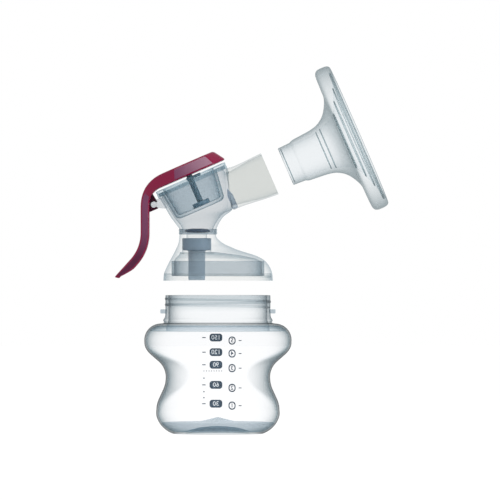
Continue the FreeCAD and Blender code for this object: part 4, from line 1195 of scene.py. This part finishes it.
# Radius, distance along the axis and half thickness of each fine dark ring. The ring at the bowl's foot is
# painted shade, where the flare's root bends the light.
CUP_RINGS = (
    (15.3, 34.2, 0.5), (35.9, 41.0, 0.5), (21.5, 37.1, 0.32), (28.0, 39.3, 0.3), (10.4, 21.8, 0.26),
    (11.1, 24.3, 0.26), (9.45, 1.2, 0.25),
)


def rib(radius, along, thick):
    """A round bead's section, as (radius, height) rows."""
    cos, sin = circle_of(10)
    return np.stack([radius + thick * cos, along + thick * sin], 1)


class PUMP_OT_funnel_cup(Operator):
    """Build the silicone funnel cup: seat, stub, flare, thick flange and bowl, with fine dark rings, the one
    at the bowl's foot painted shade
    """

    bl_idname = "pump.funnel_cup"
    bl_label = "Funnel cup"

    def execute(self, context):
        rubber = clear_material(context.scene, "cup", 220.0)
        inner = clear_material(context.scene, "bowl", 220.0)
        corners = np.array(CUP_ROWS)
        profile = smooth(corners[:, :2], corners[:, 2], 0.7, True, 8)
        axis = RIM - TUBE_DROP * RISE + CUP_START * ALONG
        cup = turned(profile, axis, ALONG, ACROSS, 200)
        cup = put_rings("funnel_cup_body", cup, True, CUP, rubber, "funnel_cup")
        # Fine dark rings along the cup's dark lines; the one at the bowl's foot is painted shade of the
        # flare's root.
        ribs = [(turned(rib(*row), axis, ALONG, ACROSS, FINE_COLUMNS), True) for row in CUP_RINGS]
        dress(put_mesh("funnel_cup_dark_rings", ribs), CUP, clear_material(context.scene, "rib"))
        bowl = (profile[:, 0] < BOWL_RADIUS) & (np.arange(len(profile)) > np.argmax(profile[:, 1]))
        paint(cup, bowl, 200, inner)
        return {"FINISHED"}


# ---------------------------------------------------------------- stage

FLOOR_GLOW = 1.12
FLOOR_OWN_SHARE = 0.8
FLOOR_HALF = 4.0


def white_for_sight(tree):
    """1 for rays that look: from the camera, from gloss and through glass; 0 for rays that light."""
    path = add(tree, "LightPath").outputs
    seen = math_node(tree, "ADD", path["Is Camera Ray"], path["Is Glossy Ray"])
    return math_node(tree, "ADD", seen, path["Is Transmission Ray"], use_clamp=True)


def add_lamp(name, power, size, spot, aim):
    """A round lamp that shines from a spot towards another."""
    lamp = bpy.data.lights.new(name, "AREA")
    lamp.shape = "DISK"
    lamp.size = size
    lamp.energy = power
    holder = add_object(name, lamp)
    holder.location = spot
    holder.rotation_euler = Vector(np.array(aim) - np.array(spot)).to_track_quat("-Z", "Y").to_euler()


def floor_material():
    """White floor: mostly its own white for rays that look, and plain white paint that takes shadow."""
    made, tree = blank_material("white_floor")
    paint = add(tree, "BsdfDiffuse", {"Color": (0.9, 0.9, 0.9, 1)})
    glow = add(tree, "Emission", {"Color": (1, 1, 1, 1), "Strength": FLOOR_GLOW})
    own = math_node(tree, "MULTIPLY", white_for_sight(tree), FLOOR_OWN_SHARE)
    show(tree, "Material", add(tree, "MixShader", {0: own, 1: paint.outputs[0], 2: glow.outputs[0]}))
    return made


class PUMP_OT_stage(Operator):
    """Lay the white floor and set the soft light and the camera"""

    bl_idname = "pump.stage"
    bl_label = "Stage"

    def execute(self, context):
        scene = context.scene
        settings = scene.pump_stage
        low, high = np.array(CAD_BOX[0]), np.array(CAD_BOX[1])
        middle = (low + high) / 2
        ground = bpy.data.meshes.new("floor")
        corners = np.array(((-1, -1), (1, -1), (1, 1), (-1, 1))) * FLOOR_HALF
        ground.from_pydata([(x, y, float(low[2])) for x, y in corners], [], [(0, 1, 2, 3)])
        ground.materials.append(floor_material())
        add_object("floor", ground)
        world = bpy.data.worlds.new("studio")
        world.use_nodes = True
        tree = world.node_tree
        tree.nodes.clear()
        sight = white_for_sight(tree)
        even = add(tree, "Background", {"Color": (1, 1, 1, 1), "Strength": settings.world})
        white = add(tree, "Background", {"Color": (1, 1, 1, 1), "Strength": 1.0})
        show(tree, "World", add(tree, "MixShader", {0: sight, 1: even.outputs[0], 2: white.outputs[0]}))
        scene.world = world
        aim = tuple(middle)
        add_lamp("key_lamp", settings.key * 6, 0.5, (middle[0] - 0.45, -0.7, middle[2] + 0.75), aim)
        add_lamp("side_lamp", settings.key * 7, 0.4, (middle[0] + 0.7, -0.5, middle[2] + 0.2), aim)
        camera = bpy.data.cameras.new("camera")
        camera.lens = settings.lens
        distance = (high[2] - low[2]) / settings.fill * camera.lens / camera.sensor_width
        holder = add_object("camera", camera)
        holder.location = (middle[0] - settings.left, middle[1] - distance, middle[2] + settings.above)
        holder.rotation_euler = (math.pi / 2, 0, 0)
        scene.camera = holder
        scene.view_settings.view_transform = "Standard"
        scene.cycles.transparent_max_bounces = 48
        return {"FINISHED"}


# ---------------------------------------------------------------- add-on

PIECES = (
    PUMP_OT_bottle,
    PUMP_OT_scale,
    PUMP_OT_head,
    PUMP_OT_cup_tube,
    PUMP_OT_valve,
    PUMP_OT_diaphragm,
    PUMP_OT_stem,
    PUMP_OT_handle,
    PUMP_OT_pivot_bar,
    PUMP_OT_funnel_cup,
    PUMP_OT_stage,
)

SETTINGS = {
    "pump_bottle": BottleSettings,
    "pump_head": HeadSettings,
    "pump_handle": HandleSettings,
    "pump_stem": StemSettings,
    "pump_scale": ScaleSettings,
    "pump_stage": StageSettings,
}

SILICONE = {"rim": 0.95, "roughness": 0.4}

# Each see-through material's name, and where its look differs from the usual one.
LOOKS = {
    "bottle": (
        "clear_bottle_plastic",
        {"edge": (0.02, 0.055, 0.07), "body": (0.25, 0.33, 0.37), "rim": 0.2, "fall": 3.7},
    ),
    "inside": ("clear_inside_plastic", {"edge": (0.55, 0.66, 0.7), "haze": 0.002, "rim": 0.05, "fall": 4.0}),
    "neck": (
        "clear_neck_plastic",
        {"passed": (0.985, 0.99, 0.993), "edge": (0.1, 0.17, 0.2), "haze": 0.01, "fall": 3.0},
    ),
    "foot": (
        "clear_foot_plastic",
        {"passed": (0.93, 0.945, 0.955), "edge": (0.78, 0.82, 0.84), "haze": 0.03, "rim": 0.1},
    ),
    "base": (
        "thick_bottle_plastic",
        {"passed": (0.69, 0.735, 0.765), "edge": (0.8, 0.85, 0.88), "haze": 0.04, "rim": 0.1},
    ),
    # Painted shade: the grey band of the shoulder's rounding seen edge-on.
    "shoulder": (
        "shoulder_shade_plastic",
        {"passed": (0.915, 0.935, 0.95), "edge": (0.6, 0.68, 0.72), "haze": 0.02, "rim": 0.15},
    ),
    "head": (
        "clear_head_plastic",
        {"passed": (0.965, 0.968, 0.966), "edge": (0.58, 0.66, 0.7), "haze": 0.008},
    ),
    "plug": (
        "milky_head_plastic",
        {"passed": (0.875, 0.895, 0.91), "edge": (0.3, 0.42, 0.48), "haze": 0.03, "rim": 0.35},
    ),
    "tube": (
        "clear_tube_plastic",
        {"passed": (0.908, 0.915, 0.908), "edge": (0.78, 0.81, 0.82), "haze": 0.012, "rim": 0.2},
    ),
    "weir": ("blue_tinted_plastic", {"passed": (0.8, 0.84, 0.88), "edge": (0.4, 0.5, 0.6), "haze": 0.04}),
    "bar": (
        "milky_bar_plastic",
        {"passed": (0.99, 0.985, 0.99), "body": (1.0, 1.0, 1.0), "haze": 0.2, "rim": 0.9, "fall": 5.0},
    ),
    "cup": (
        "clear_silicone",
        {"passed": (0.94, 0.953, 0.96), "edge": (0.38, 0.45, 0.47), "haze": 0.02, "rim": 0.3, "fall": 1.6},
    ),
    "bowl": (
        "clear_silicone_inside",
        {"passed": (0.99, 0.993, 0.995), "edge": (0.93, 0.95, 0.96), "rim": 0.05},
    ),
    # The fine dark rings; the one at the bowl's foot is painted shade.
    "rib": (
        "silicone_dark_rings",
        {"passed": (0.74, 0.79, 0.8), "edge": (0.36, 0.44, 0.46), "haze": 0.08, "rim": 0.3},
    ),
    "silicone": (
        "blue_silicone",
        {"passed": (0.42, 0.5, 0.57), "edge": (0.2, 0.27, 0.34), "body": (0.25, 0.335, 0.42), "haze": 0.7}
        | SILICONE,
    ),
    "bill": (
        "blue_silicone_bill",
        {"passed": (0.5, 0.58, 0.64), "edge": (0.25, 0.32, 0.39), "body": (0.38, 0.47, 0.545), "haze": 0.7}
        | SILICONE,
    ),
    "seal": (
        "blue_silicone_seal",
        {"passed": (0.3, 0.4, 0.52), "edge": (0.1, 0.17, 0.26), "body": (0.06, 0.1, 0.18), "haze": 0.92}
        | SILICONE,
    ),
    "diaphragm": (
        "blue_silicone_thin",
        {"passed": (0.925, 0.95, 0.965), "edge": (0.33, 0.5, 0.57), "body": (0.3, 0.42, 0.48), "haze": 0.07}
        | {"rim": 0.55, "roughness": 0.35},
    ),
    "flange": (
        "blue_silicone_flange",
        {"passed": (0.88, 0.915, 0.93), "edge": (0.55, 0.68, 0.74), "body": (0.4, 0.52, 0.58), "haze": 0.05}
        | {"rim": 0.3, "roughness": 0.35},
    ),
}


def look_name(key):
    """The name of a look's settings in the scene."""
    return f"pump_{key}_look"


class PUMP_PT_panel(Panel):
    """Lists the pieces and their settings"""

    bl_idname = "PUMP_PT_panel"
    bl_label = "Breast pump"
    bl_space_type = "VIEW_3D"
    bl_region_type = "UI"
    bl_category = "Breast pump"

    def draw(self, context):
        for piece in PIECES:
            self.layout.operator(piece.bl_idname)
        for name in GROUPS:
            group = getattr(context.scene, name)
            column = self.layout.box().column()
            column.label(text=name.replace("_", " "))
            for setting in group.__annotations__:
                column.prop(group, setting)


CLASSES = (ClearLook, *SETTINGS.values(), *PIECES, PUMP_PT_panel)
GROUPS = SETTINGS | {look_name(key): ClearLook for key in LOOKS}


def register():
    for made in CLASSES:
        bpy.utils.register_class(made)
    for name, group in GROUPS.items():
        setattr(bpy.types.Scene, name, PointerProperty(type=group))


def unregister():
    for name in GROUPS:
        delattr(bpy.types.Scene, name)
    for made in reversed(CLASSES):
        bpy.utils.unregister_class(made)


def main():
    register()
    for key, (_, values) in LOOKS.items():
        for setting, content in values.items():
            setattr(getattr(bpy.context.scene, look_name(key)), setting, content)
    for piece in PIECES:
        getattr(bpy.ops.pump, piece.bl_idname.split(".")[1])()
    bpy.context.view_layer.update()


if __name__ == "__main__":
    main()
